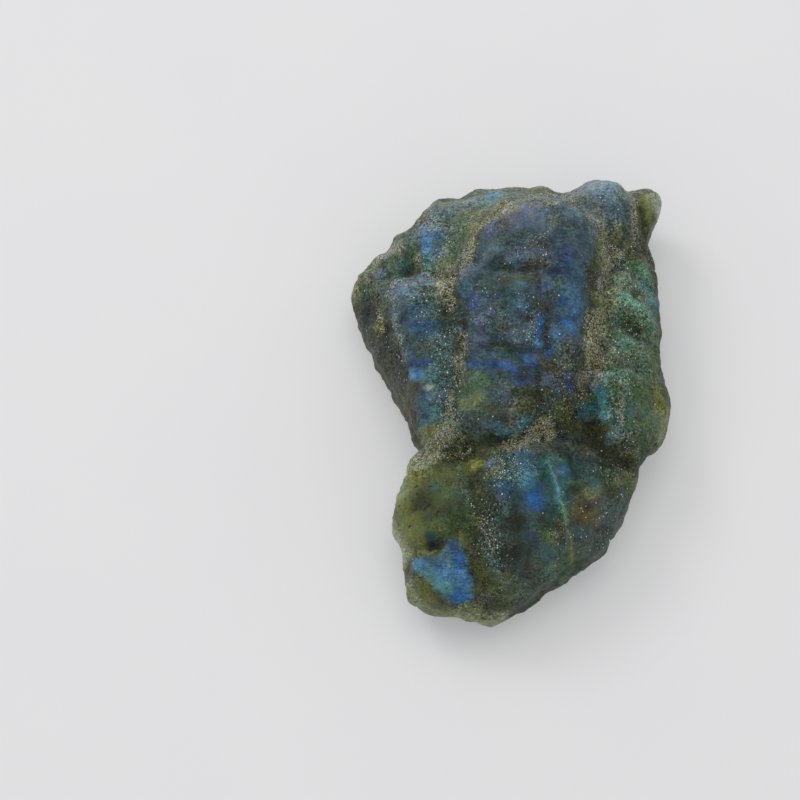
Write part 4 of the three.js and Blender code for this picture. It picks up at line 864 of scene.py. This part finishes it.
def top_colour(points):
    """Colour of the top: each hill's own colour with soft edges, then the patches, the toe's flash and the
    veins, all on places that wander with noise."""
    x, y = wander(points, 0.3)
    ragged = 0.45 * clouds(points + 40, 1.5)
    colours = np.tile(feldspar("dark olive"), (len(points), 1))
    for hill in HILLS:
        inside = -distance_outside(x, y, hill["outline"])
        colours = blend(colours, hill["colour"], ramp(inside - ragged, -0.8, 0.6))
    for patch in PATCHES:
        colours = blend(colours, patch[0], patch_weight(x, y, ragged, patch))
    x, y = wander(points, 0.15)
    on_toe = ramp(-distance_outside(x, y, TOE_FLASH), -0.35, 0.35)
    colours = blend(colours, "haze teal", on_toe)
    for patch in TOE_FLASH_PATCHES:
        colours = blend(colours, patch[0], patch_weight(x, y, ragged, patch) * on_toe)
    for name, width, strength, line in VEINS:
        colours = blend(colours, name, bell_along(x, y, line, width, strength))
    return colours


def side_colour(points):
    """Colour of the sides and underside: clouds of noise choose a place along the row of side colours, and
    flashes lie in ovals about their middles."""
    place = (clouds(points + 7, SIDE_CLOUD) * 0.75 + 0.5) * (len(SIDE_COLOURS) - 1)
    rows = np.stack([feldspar(name) for name in SIDE_COLOURS])
    steps = np.arange(len(rows))
    colours = np.stack([np.interp(place, steps, channel) for channel in rows.T], axis=1)
    push = np.stack([noise(points + shift, 1.9) for shift in (11, 23, 37)], axis=1) * 0.8
    for name, cx, cy, cz, rx, ry, rz, strength in SIDE_FLASHES:
        away = np.linalg.norm((points + push - (cx, cy, cz)) / (rx, ry, rz), axis=1)
        colours = blend(colours, name, strength * ramp(-away, -1.2, -0.3))
    return colours


def crushed_share(points, facing):
    """Share of crushed grains: the largest bell curve of the bands on the top, with gaps where the clouds of
    noise are low, and thin clouds on the sides."""
    x, y = wander(points, 0.5)
    share = 0
    for width, density, line in CRUSHED:
        share = np.maximum(share, bell_along(x, y, line, width, density, 1.6))
    share *= ramp(clouds(points + 17, 1.0), -0.9, 0.1)
    on_top = ramp(facing[:, 2], 0.0, 0.4)
    thin = 0.5 * ramp(clouds(points + 61, 3.0), 0.3, 0.8)
    return share * on_top + thin * (1 - on_top)


def dusted_share(points, facing):
    """Share of finer grains: the largest bell curve of their lines on the top, and thin clouds, fainter on
    the top than on the sides."""
    x, y = wander(points, 0.6)
    share = 0
    for radius, density, line in DUSTED:
        share = np.maximum(share, bell_along(x, y, line, radius, density))
    on_top = ramp(facing[:, 2], -0.3, 0.2)
    thin = 0.3 * ramp(clouds(points + 29, 2.6), 0.1, 0.7)
    return np.maximum(share * on_top, thin * (1 - 0.6 * on_top))


def flash_share(colours):
    """How much of a flash a colour is: how far its blue stands above the mean of its red and green, as a
    share of the blue."""
    red, green, blue = colours.T
    return np.clip(2.2 * (blue - (red + green) / 2) / blue - 0.2, 0, 1)


def waxy_share(points, facing):
    """Share of smooth waxy feldspar: the sum of its places' bell curves, with 0.5 added on the sides."""
    x, y = wander(points, 0.6)
    share = sum(bell_at(x, y, *place) for place in WAXY)
    return np.clip(share + 0.5 * ramp(-facing[:, 2], -0.5, 0.1), 0, 1)


def dark_grain_share(points, facing):
    """Share of dark grains: the sum of their places' bell curves, on what faces up."""
    share = sum(bell_at(points[:, 0], points[:, 1], *place) for place in DARK_GRAINS)
    return share * ramp(facing[:, 2], -0.2, 0.3)


def make_mesh(name, points, faces):
    """An object at the origin from points in metres and faces of four corners, shaded smooth."""
    mesh = bpy.data.meshes.new(name)
    mesh.vertices.add(len(points))
    mesh.vertices.foreach_set("co", points.ravel())
    mesh.loops.add(faces.size)
    mesh.loops.foreach_set("vertex_index", faces.ravel())
    mesh.polygons.add(len(faces))
    mesh.polygons.foreach_set("loop_start", np.arange(len(faces)) * faces.shape[1])
    mesh.polygons.foreach_set("use_smooth", np.ones(len(faces), bool))
    mesh.update(calc_edges=True)
    piece = bpy.data.objects.new(name, mesh)
    bpy.context.scene.collection.objects.link(piece)
    return piece


def normals_of(mesh):
    """The mesh's normal at each of its points."""
    normals = np.empty(len(mesh.vertices) * 3)
    mesh.vertex_normals.foreach_get("vector", normals)
    return normals.reshape(-1, 3)


def add_attribute(mesh, name, values):
    """A value for each point that the material can read: a number, or a colour where values has rows."""
    if values.ndim == 1:
        mesh.attributes.new(name, "FLOAT", "POINT").data.foreach_set("value", values)
    else:
        rows = np.column_stack([values, np.ones(len(values))])
        mesh.attributes.new(name, "FLOAT_COLOR", "POINT").data.foreach_set("color", rows.ravel())


def shaded(colours, mesh, points, facing):
    """Colours made darker where a point lies deeper than its surroundings and lighter where it stands out."""
    edges = np.empty(len(mesh.edges) * 2, int)
    mesh.edges.foreach_get("vertices", edges)
    relief = standing_out(points, facing, edges.reshape(-1, 2), SMOOTHINGS)
    start, full, share = TROUGH_SHADE
    colours = colours * (1 - share * ramp(-relief, start, full))[:, None]
    start, full, share = EDGE_LIGHT
    return colours * (1 + share * ramp(relief, start, full))[:, None]


def make_stone():
    """The stone: the swept surface, moved along its normals by the finer relief, cut flat at the floor and
    set over the origin. Its colours and masks are worked out for the places of the swept surface."""
    swept, faces = stone_grid(GRID)
    stone = make_mesh("rough_labradorite", swept * MM, faces)
    facing = normals_of(stone.data)
    points = swept + facing * fine_relief(swept, facing)[:, None]
    points[:, 2] = np.maximum(points[:, 2], 0)
    placed = points - (*MIDDLE, 0)
    stone.data.vertices.foreach_set("co", (placed * MM).ravel())
    stone.data.update()

    on_top = ramp(facing[:, 2] + 0.15 * noise(points, 1.6), -0.7, -0.2)
    colours = side_colour(swept)
    colours += (top_colour(swept) - colours) * on_top[:, None]
    # Painted light: the slopes that face the far end are paled towards white, as if lit from behind.
    colours = blend(colours, "white", FAR_SLOPE_PAINTED_LIGHT * ramp(facing[:, 1], 0.25, 0.8) * ramp(swept[:, 2], 3, 8))
    colours = shaded(colours, stone.data, points, facing)

    crushed = crushed_share(swept, facing)
    dusted = dusted_share(swept, facing)
    # The feldspar colour carries the painted shade and painted light worked out above.
    add_attribute(stone.data, "feldspar", colours)
    add_attribute(stone.data, "crushed", crushed)
    add_attribute(stone.data, "dusted", dusted)
    add_attribute(stone.data, "flash", flash_share(colours))
    add_attribute(stone.data, "waxy", waxy_share(swept, facing))
    add_attribute(stone.data, "dark_grains", dark_grain_share(swept, facing))
    add_attribute(stone.data, "from_vein", distance_to_line(*wander(swept, 0.12), PALE_VEIN))
    return stone, placed, facing, crushed, dusted


def make_grains(places, facing, crushed, dusted):
    """Loose grains of crushed feldspar: stretched eight-sided chips, each turned its own way and sunk by
    about half its size into the stone, many where it is crushed and a few where it is dusted."""
    random = np.random.default_rng(11)
    count = GRAIN_COUNT
    drifts = ramp(clouds(places + 5, 1.6), -0.1, 0.7)
    odds = (crushed ** 2 * (0.2 + drifts) + 0.05 * dusted * drifts + 0.0015) * ramp(facing[:, 2], 0.1, 0.6)
    chosen = random.choice(len(places), count, p=odds / odds.sum())
    corners = np.array([[1, 0, 0], [-1, 0, 0], [0, 1, 0], [0, -1, 0], [0, 0, 1], [0, 0, -1]], float)
    sides = np.array([
        [0, 2, 4], [2, 1, 4], [1, 3, 4], [3, 0, 4], [2, 0, 5], [1, 2, 5], [3, 1, 5], [0, 3, 5]])
    size = GRAIN_SIZE[0] + (GRAIN_SIZE[1] - GRAIN_SIZE[0]) * random.random(count) ** 3
    shape = corners * random.uniform(0.45, 1.0, (count, 1, 3)) * random.uniform(0.8, 1.2, (count, 6, 1))
    turned = np.linalg.qr(random.normal(size=(count, 3, 3)))[0]
    turned *= np.sign(np.linalg.det(turned))[:, None, None]
    spread = random.uniform(-0.12, 0.12, (count, 3))
    spread -= facing[chosen] * np.sum(spread * facing[chosen], axis=1)[:, None]
    middles = places[chosen] + spread + facing[chosen] * (0.15 * size)[:, None]
    points = middles[:, None] + (shape * size[:, None, None]) @ turned
    faces = sides + 6 * np.arange(count)[:, None, None]
    grains = make_mesh("crushed_grains", points.reshape(-1, 3) * MM, faces.reshape(-1, 3))
    grains.data.polygons.foreach_set("use_smooth", np.zeros(count * len(sides), bool))
    add_attribute(grains.data, "paleness", np.repeat(random.random(count) ** 1.6, 6))
    add_attribute(grains.data, "crushed", np.repeat(crushed[chosen], 6))
    return grains


# ---- Materials ----

def add_node(tree, kind, inputs=(), **settings):
    """Adds a shader node and sets its properties. Each input, by name or in order, is linked to an output or
    set to a value. Gives back the node's outputs."""
    node = tree.nodes.new("ShaderNode" + kind)
    for name, value in settings.items():
        setattr(node, name, value)
    for name, value in inputs.items() if isinstance(inputs, dict) else enumerate(inputs):
        if isinstance(value, bpy.types.NodeSocket):
            tree.links.new(value, node.inputs[name])
        else:
            node.inputs[name].default_value = value
    return node.outputs


def new_material(name):
    """An empty material and its node tree."""
    material = bpy.data.materials.new(name)
    material.use_nodes = True
    material.node_tree.nodes.clear()
    return material, material.node_tree


def rgba(hex_colour):
    """A colour socket's value for an sRGB hex colour."""
    return (*linear(hex_colour), 1)


def rough_labradorite():
    """Rough labradorite: a plagioclase feldspar, broken from the rock and washed, never polished. It is
    faintly translucent with a waxy to dull surface. Fine layers inside throw blue and green light back, so
    the flashes are drawn as streaked colour. Cleavage chips and crushed grains glint; their glints are
    painted as pale specks, each with a painted shadow round it."""
    material, tree = new_material("rough_labradorite")
    place = add_node(tree, "TexCoord")["Object"]
    tint = add_node(tree, "Attribute", attribute_name="feldspar")["Color"]
    crushed, dusted, flash, waxy, dark, from_vein = [
        add_node(tree, "Attribute", attribute_name=name)["Fac"]
        for name in ("crushed", "dusted", "flash", "waxy", "dark_grains", "from_vein")]

    # Clouds in the feldspar about 1.5 mm across, from a cooler, bluer to a warmer, more olive tone.
    clouding = add_node(tree, "TexNoise", {
        "Vector": place, "Scale": 1 / (1.5 * MM), "Detail": 4.0, "Roughness": 0.65})["Fac"]
    warmth = add_node(tree, "MapRange", {
        "Vector": clouding, "From Min": (0.3, 0.3, 0.3), "From Max": (0.7, 0.7, 0.7),
        "To Min": (0.84, 0.96, 1.08), "To Max": (1.14, 1.07, 0.88)}, data_type="FLOAT_VECTOR")["Vector"]
    colour = add_node(tree, "VectorMath", (tint, warmth), operation="MULTIPLY")["Vector"]

    # Its grain: mottling of 0.7 mm, and light and dark points of 0.25 mm. The points are strong where the
    # stone is dusted or crushed and in some drifts of 2 mm, and fainter in the flashes. All of it is faint
    # in the waxy places.
    calm = add_node(tree, "MapRange", (waxy, 0.0, 1.0, 1.0, 0.25))[0]
    mottling = add_node(tree, "TexNoise", {
        "Vector": place, "Scale": 1 / (0.7 * MM), "Detail": 1.0, "Roughness": 0.5})["Fac"]
    grain = add_node(tree, "TexNoise", {
        "Vector": place, "Scale": 1 / (0.25 * MM), "Detail": 3.0, "Roughness": 0.75})["Fac"]
    grain = add_node(tree, "Math", (grain, 0.5), operation="SUBTRACT")[0]
    grain = add_node(tree, "Math", (grain, calm, 0.5), operation="MULTIPLY_ADD")[0]
    dust = add_node(tree, "Math", (dusted, crushed), operation="MAXIMUM")[0]
    drifts = add_node(tree, "TexNoise", {
        "Vector": place, "Scale": 1 / (2.2 * MM), "Detail": 1.0, "Roughness": 0.5})["Fac"]
    drifts = add_node(tree, "MapRange", (drifts, 0.4, 0.6, 0.6, 1.4))[0]
    coarse = add_node(tree, "MapRange", (flash, 0.0, 0.7, 1.3, 0.5))[0]
    coarse = add_node(tree, "Math", (drifts, coarse), operation="MULTIPLY")[0]
    coarse = add_node(tree, "Math", (dust, 1.1, coarse), operation="MULTIPLY_ADD")[0]
    points = add_node(tree, "MapRange", (grain, 0.36, 0.66, -0.55, 0.9))[0]
    points = add_node(tree, "Math", (points, coarse, 1.0), operation="MULTIPLY_ADD")[0]
    points = add_node(tree, "Math", (points, 0.35), operation="MAXIMUM")[0]
    shade = add_node(tree, "MapRange", (mottling, 0.3, 0.7, -0.25, 0.25))[0]
    shade = add_node(tree, "Math", (shade, calm, 0.94), operation="MULTIPLY_ADD")[0]
    shade = add_node(tree, "Math", (shade, points), operation="MULTIPLY")[0]

    # Streaks: noise of 0.3 mm drawn out along the crystal's layers to three times its length. Thin dark and
    # light lines run between them where the layers break out of the surface.
    layered = add_node(tree, "Mapping", {
        "Vector": place, "Rotation": (0.0, 0.0, math.radians(-8)), "Scale": (3.4, 1.0, 2.0)},
        vector_type="TEXTURE")[0]
    streaks = add_node(tree, "TexNoise", {
        "Vector": layered, "Scale": 1 / (0.3 * MM), "Detail": 2.0, "Roughness": 0.7,
        "Distortion": 1.2})["Fac"]
    streaks = add_node(tree, "Math", (streaks, 0.5), operation="SUBTRACT")[0]
    streaks = add_node(tree, "Math", (streaks, calm, 0.5), operation="MULTIPLY_ADD")[0]
    streak_share = add_node(tree, "MapRange", (flash, 0.0, 1.0, 0.55, 0.7))[0]
    streak_shade = add_node(tree, "MapRange", (streaks, 0.3, 0.7, -0.45, 0.5))[0]
    streak_shade = add_node(tree, "Math", (streak_shade, streak_share, 1.0), operation="MULTIPLY_ADD")[0]
    shade = add_node(tree, "Math", (shade, streak_shade), operation="MULTIPLY")[0]
    lines = add_node(tree, "TexNoise", {
        "Vector": layered, "Scale": 1 / (0.55 * MM), "Detail": 1.0, "Roughness": 0.6,
        "Distortion": 1.6})["Fac"]
    for level, width, strength in ((0.44, 0.04, 0.65), (0.56, 0.035, 1.35)):
        line = add_node(tree, "Math", (lines, level), operation="SUBTRACT")[0]
        line = add_node(tree, "Math", (line,), operation="ABSOLUTE")[0]
        line = add_node(tree, "MapRange", (line, 0.0, width, strength - 1, 0.0))[0]
        line = add_node(tree, "Math", (line, calm, 1.0), operation="MULTIPLY_ADD")[0]
        shade = add_node(tree, "Math", (shade, line), operation="MULTIPLY")[0]
    colour = add_node(tree, "VectorMath", {"Vector": colour, "Scale": shade}, operation="SCALE")["Vector"]

    # A pale vein of 0.2 mm, broken here and there.
    vein = add_node(tree, "MapRange", (from_vein, 0.17, 0.07, 0.0, 1.0))[0]
    breaks = add_node(tree, "MapRange", (grain, 0.35, 0.5, 0.35, 0.9))[0]
    vein = add_node(tree, "Math", (vein, breaks), operation="MULTIPLY")[0]
    colour = add_node(tree, "Mix", {
        "Factor": vein, "A": colour, "B": rgba("#8FB5A8")}, data_type="RGBA")["Result"]

    # Dark grains: ragged spots of 0.4 mm and less in clusters, as many as the mask asks for.
    ragged = add_node(tree, "TexNoise", {
        "Vector": place, "Scale": 1 / (0.9 * MM), "Detail": 4.0, "Roughness": 0.8})["Fac"]
    clusters = add_node(tree, "MapRange", (ragged, 0.42, 0.6, 0.0, 1.0))[0]
    clusters = add_node(tree, "Math", (dark, clusters), operation="MULTIPLY")[0]
    spots = add_node(tree, "TexNoise", {
        "Vector": place, "Scale": 1 / (0.5 * MM), "Detail": 2.0, "Roughness": 0.6})["Fac"]
    spots = add_node(tree, "Math", (clusters, 0.2, spots), operation="MULTIPLY_ADD")[0]
    spots = add_node(tree, "MapRange", (spots, 0.7, 0.75, 0.0, 0.85))[0]
    colour = add_node(tree, "Mix", {
        "Factor": spots, "A": colour, "B": rgba("#1D2115")}, data_type="RGBA")["Result"]

    # Crushed feldspar: a ragged crust, dark olive, with worm-like ridges of grains 0.2 mm apart that go from
    # a grey sand colour to straw.
    crust = add_node(tree, "Math", (crushed, 0.7, -0.75), operation="MULTIPLY_ADD")[0]
    crust = add_node(tree, "Math", (crust, ragged), operation="ADD")[0]
    crust = add_node(tree, "MapRange", (crust, 0.0, 0.25, 0.0, 0.85))[0]
    ridge = add_node(tree, "TexNoise", {
        "Vector": place, "Scale": 1 / (0.3 * MM), "Detail": 2.0, "Roughness": 0.65, "Distortion": 0.4})["Fac"]
    ridge = add_node(tree, "Math", (ridge, 0.5), operation="SUBTRACT")[0]
    ridge = add_node(tree, "Math", (ridge,), operation="ABSOLUTE")[0]
    ridge = add_node(tree, "MapRange", (ridge, 0.07, 0.02, 0.0, 1.0))[0]
    packed = add_node(tree, "MapRange", (grain, 0.4, 0.6, 0.15, 1.0))[0]
    ridge = add_node(tree, "Math", (ridge, packed), operation="MULTIPLY")[0]
    straw = add_node(tree, "TexNoise", {
        "Vector": place, "Scale": 1 / (1.3 * MM), "Detail": 1.0, "Roughness": 0.5})["Fac"]
    straw = add_node(tree, "MapRange", (straw, 0.42, 0.6, 0.0, 1.0))[0]
    sand = add_node(tree, "Mix", {
        "Factor": straw, "A": rgba("#F6F5E0"), "B": rgba("#E4E09A")}, data_type="RGBA")["Result"]
    sand = add_node(tree, "Mix", {
        "Factor": ridge, "A": rgba("#252915"), "B": sand}, data_type="RGBA")["Result"]
    colour = add_node(tree, "Mix", {"Factor": crust, "A": colour, "B": sand}, data_type="RGBA")["Result"]

    # Glinting chips: ragged points in cells of 0.27 mm, few over most of the stone and many where it is
    # dusted or crushed, each from 0.1 to 0.2 mm across with a thin dark ring of painted shadow round it. Most
    # are dim; their pale colour is partly fresh broken faces and partly painted glints.
    cells = add_node(tree, "TexVoronoi", {"Vector": place, "Scale": 1 / (0.27 * MM)})
    chances = add_node(tree, "SeparateColor", (cells["Color"],))
    scattered = add_node(tree, "MapRange", (ragged, 0.5, 0.75, 0.004, 0.07))[0]
    share = add_node(tree, "MapRange", (ragged, 0.35, 0.65, 0.2, 0.85))[0]
    share = add_node(tree, "Math", (dust, share, scattered), operation="MULTIPLY_ADD")[0]
    chosen = add_node(tree, "Math", (chances["Red"], share), operation="LESS_THAN")[0]
    distance = add_node(tree, "Math", (grain, 0.5), operation="SUBTRACT")[0]
    distance = add_node(tree, "Math", (distance, 0.5, cells["Distance"]), operation="MULTIPLY_ADD")[0]
    reach = add_node(tree, "MapRange", (chances["Green"], 0.0, 1.0, 0.18, 0.46))[0]
    distance = add_node(tree, "Math", (distance, reach), operation="DIVIDE")[0]
    chip = add_node(tree, "MapRange", (distance, 1.0, 0.6, 0.0, 1.0))[0]
    chip = add_node(tree, "Math", (chip, chosen), operation="MULTIPLY")[0]
    chip_painted_shadow = add_node(tree, "MapRange", (distance, 2.0, 1.2, 0.0, 0.5))[0]
    chip_painted_shadow = add_node(tree, "Math", (chip_painted_shadow, chosen), operation="MULTIPLY")[0]
    brightness = add_node(tree, "MapRange", (dust, 0.0, 1.0, 1.2, 0.6))[0]
    brightness = add_node(tree, "Math", (chances["Blue"], brightness), operation="POWER")[0]
    straw = add_node(tree, "Math", (straw, crushed), operation="MULTIPLY")[0]
    fresh = add_node(tree, "Mix", {
        "Factor": straw, "A": rgba("#F4F8F7"), "B": rgba("#F6F4CC")}, data_type="RGBA")["Result"]
    dim = add_node(tree, "VectorMath", {"Vector": tint, "Scale": 2.0}, operation="SCALE")["Vector"]
    glint = add_node(tree, "Mix", {"Factor": brightness, "A": dim, "B": fresh}, data_type="RGBA")["Result"]
    colour = add_node(tree, "Mix", {
        "Factor": chip_painted_shadow, "A": colour, "B": rgba("#1D2217")}, data_type="RGBA")["Result"]
    colour = add_node(tree, "Mix", {"Factor": chip, "A": colour, "B": glint}, data_type="RGBA")["Result"]

    # Dull where crushed, waxy elsewhere, with small differences from the clouds.
    roughness = add_node(tree, "MapRange", (clouding, 0.3, 0.7, 0.34, 0.55))[0]
    roughness = add_node(tree, "Mix", {"Factor": crust, "A": roughness, "B": 0.8})["Result"]

    # Bump: the mottling 0.12 mm high, the grain 0.1 mm, the layers' streaks 0.08 mm and the chips 0.06 mm.
    bumped = {}
    for height, distance, strength in (
            (mottling, 0.12, 0.9), (grain, 0.1, 0.9), (streaks, 0.08, 0.8), (chip, 0.06, 0.8)):
        bumped = {"Normal": add_node(tree, "Bump", {
            **bumped, "Strength": strength, "Distance": distance * MM, "Height": height})["Normal"]}

    surface = add_node(tree, "BsdfPrincipled", {
        **bumped, "Base Color": colour, "Roughness": roughness, "IOR": 1.56, "Specular IOR Level": 0.16,
        "Subsurface Weight": 0.1, "Subsurface Radius": (1.0, 1.1, 0.8), "Subsurface Scale": 0.4 * MM})
    add_node(tree, "OutputMaterial", {"Surface": surface[0]})
    return material


def crushed_feldspar():
    """Crushed feldspar: the same mineral, ground to grains along the stone's seams. Their fresh broken
    faces are pale sand to straw, dull on the whole, with a glint where a face is turned to the light."""
    material, tree = new_material("crushed_feldspar")
    paleness, crushed = [
        add_node(tree, "Attribute", attribute_name=name)["Fac"] for name in ("paleness", "crushed")]
    fresh = add_node(tree, "Mix", {
        "Factor": crushed, "A": rgba("#F2F8FA"), "B": rgba("#F8F7DA")}, data_type="RGBA")["Result"]
    colour = add_node(tree, "Mix", {
        "Factor": paleness, "A": rgba("#5E6650"), "B": fresh}, data_type="RGBA")["Result"]
    surface = add_node(tree, "BsdfPrincipled", {"Base Color": colour, "Roughness": 0.3, "IOR": 1.56})
    add_node(tree, "OutputMaterial", {"Surface": surface[0]})
    return material


def white_card():
    """Matt white card on a light table: paper pulp pressed smooth and uncoated, with a little light coming
    through. It gives a pale, even ground without a reflection, whose shadows stay light."""
    material, tree = new_material("matt_white_card")
    place = add_node(tree, "TexCoord")["Object"]
    fibres = add_node(tree, "TexNoise", {"Vector": place, "Scale": 1 / (20 * MM), "Detail": 3.0})["Fac"]
    colour = add_node(tree, "Mix", {
        "Factor": fibres, "A": rgba("#E1E1E3"), "B": rgba("#E5E5E6")}, data_type="RGBA")["Result"]
    surface = add_node(tree, "BsdfPrincipled", {
        "Base Color": colour, "Roughness": 0.95, "Specular IOR Level": 0.1,
        "Emission Color": colour, "Emission Strength": 0.27})
    add_node(tree, "OutputMaterial", {"Surface": surface[0]})
    return material


# ---- Floor, light and camera ----

FLOOR_HALF = 1.5  # metres from the middle to each edge
STONE_MIDDLE = (0.0, 0.0, 0.005)  # where the lights aim, in metres

CAMERA_TARGET = np.array([-12.02, 1.78, 0.0]) * MM
CAMERA_DISTANCE = 300 * MM
CAMERA_ELEVATION = math.radians(70)
CAMERA_LENS = 121.7  # focal length in millimetres, for a sensor 36 mm wide


def aim(thing, target):
    """Turns a light or camera so that it looks at a point, with its top as upright as can be."""
    away = np.array(thing.location) - np.array(target)
    away /= np.linalg.norm(away)
    side = np.cross((0, 0, 1), away)
    side /= np.linalg.norm(side)
    top = np.cross(away, side)
    thing.rotation_euler = Matrix(np.column_stack([side, top, away]).tolist()).to_euler()


def soft_box(name, location, size, power):
    """A square soft light of a width in metres and a power in watts, aimed at the stone."""
    light = bpy.data.lights.new(name, "AREA")
    light.size = size
    light.energy = power
    box = bpy.data.objects.new(name, light)
    box.location = location
    aim(box, STONE_MIDDLE)
    bpy.context.scene.collection.objects.link(box)


# ---- The pieces ----

stone, *surface = make_stone()
stone.data.materials.append(rough_labradorite())
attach(stone, "root")
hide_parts("labradorite_stone")

grains = make_grains(*surface)
grains.data.materials.append(crushed_feldspar())
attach(grains, "root")

# ---- The stage ----

floor = make_mesh("floor", np.array([
    [-FLOOR_HALF, -FLOOR_HALF, 0], [FLOOR_HALF, -FLOOR_HALF, 0],
    [FLOOR_HALF, FLOOR_HALF, 0], [-FLOOR_HALF, FLOOR_HALF, 0]]), np.array([[0, 1, 2, 3]]))
floor.data.materials.append(white_card())

scene = bpy.context.scene
scene.view_settings.view_transform = "Standard"

world = bpy.data.worlds.new("soft_white_room")
world.use_nodes = True
world.node_tree.nodes["Background"].inputs["Color"].default_value = rgba("#FFFFFF")
world.node_tree.nodes["Background"].inputs["Strength"].default_value = 0.5
scene.world = world

soft_box("soft_box_left", (-0.34, 0.34, 0.46), 0.24, 0.7)
soft_box("soft_box_above", (0.0, 0.2, 0.62), 0.4, 0.5)

lens = bpy.data.cameras.new("camera")
lens.sensor_width = 36.0
lens.lens = CAMERA_LENS
lens.clip_start = 0.01
camera = bpy.data.objects.new("camera", lens)
camera.location = CAMERA_TARGET + CAMERA_DISTANCE * np.array([
    0, -math.cos(CAMERA_ELEVATION), math.sin(CAMERA_ELEVATION)])
aim(camera, CAMERA_TARGET)
scene.collection.objects.link(camera)
scene.camera = camera
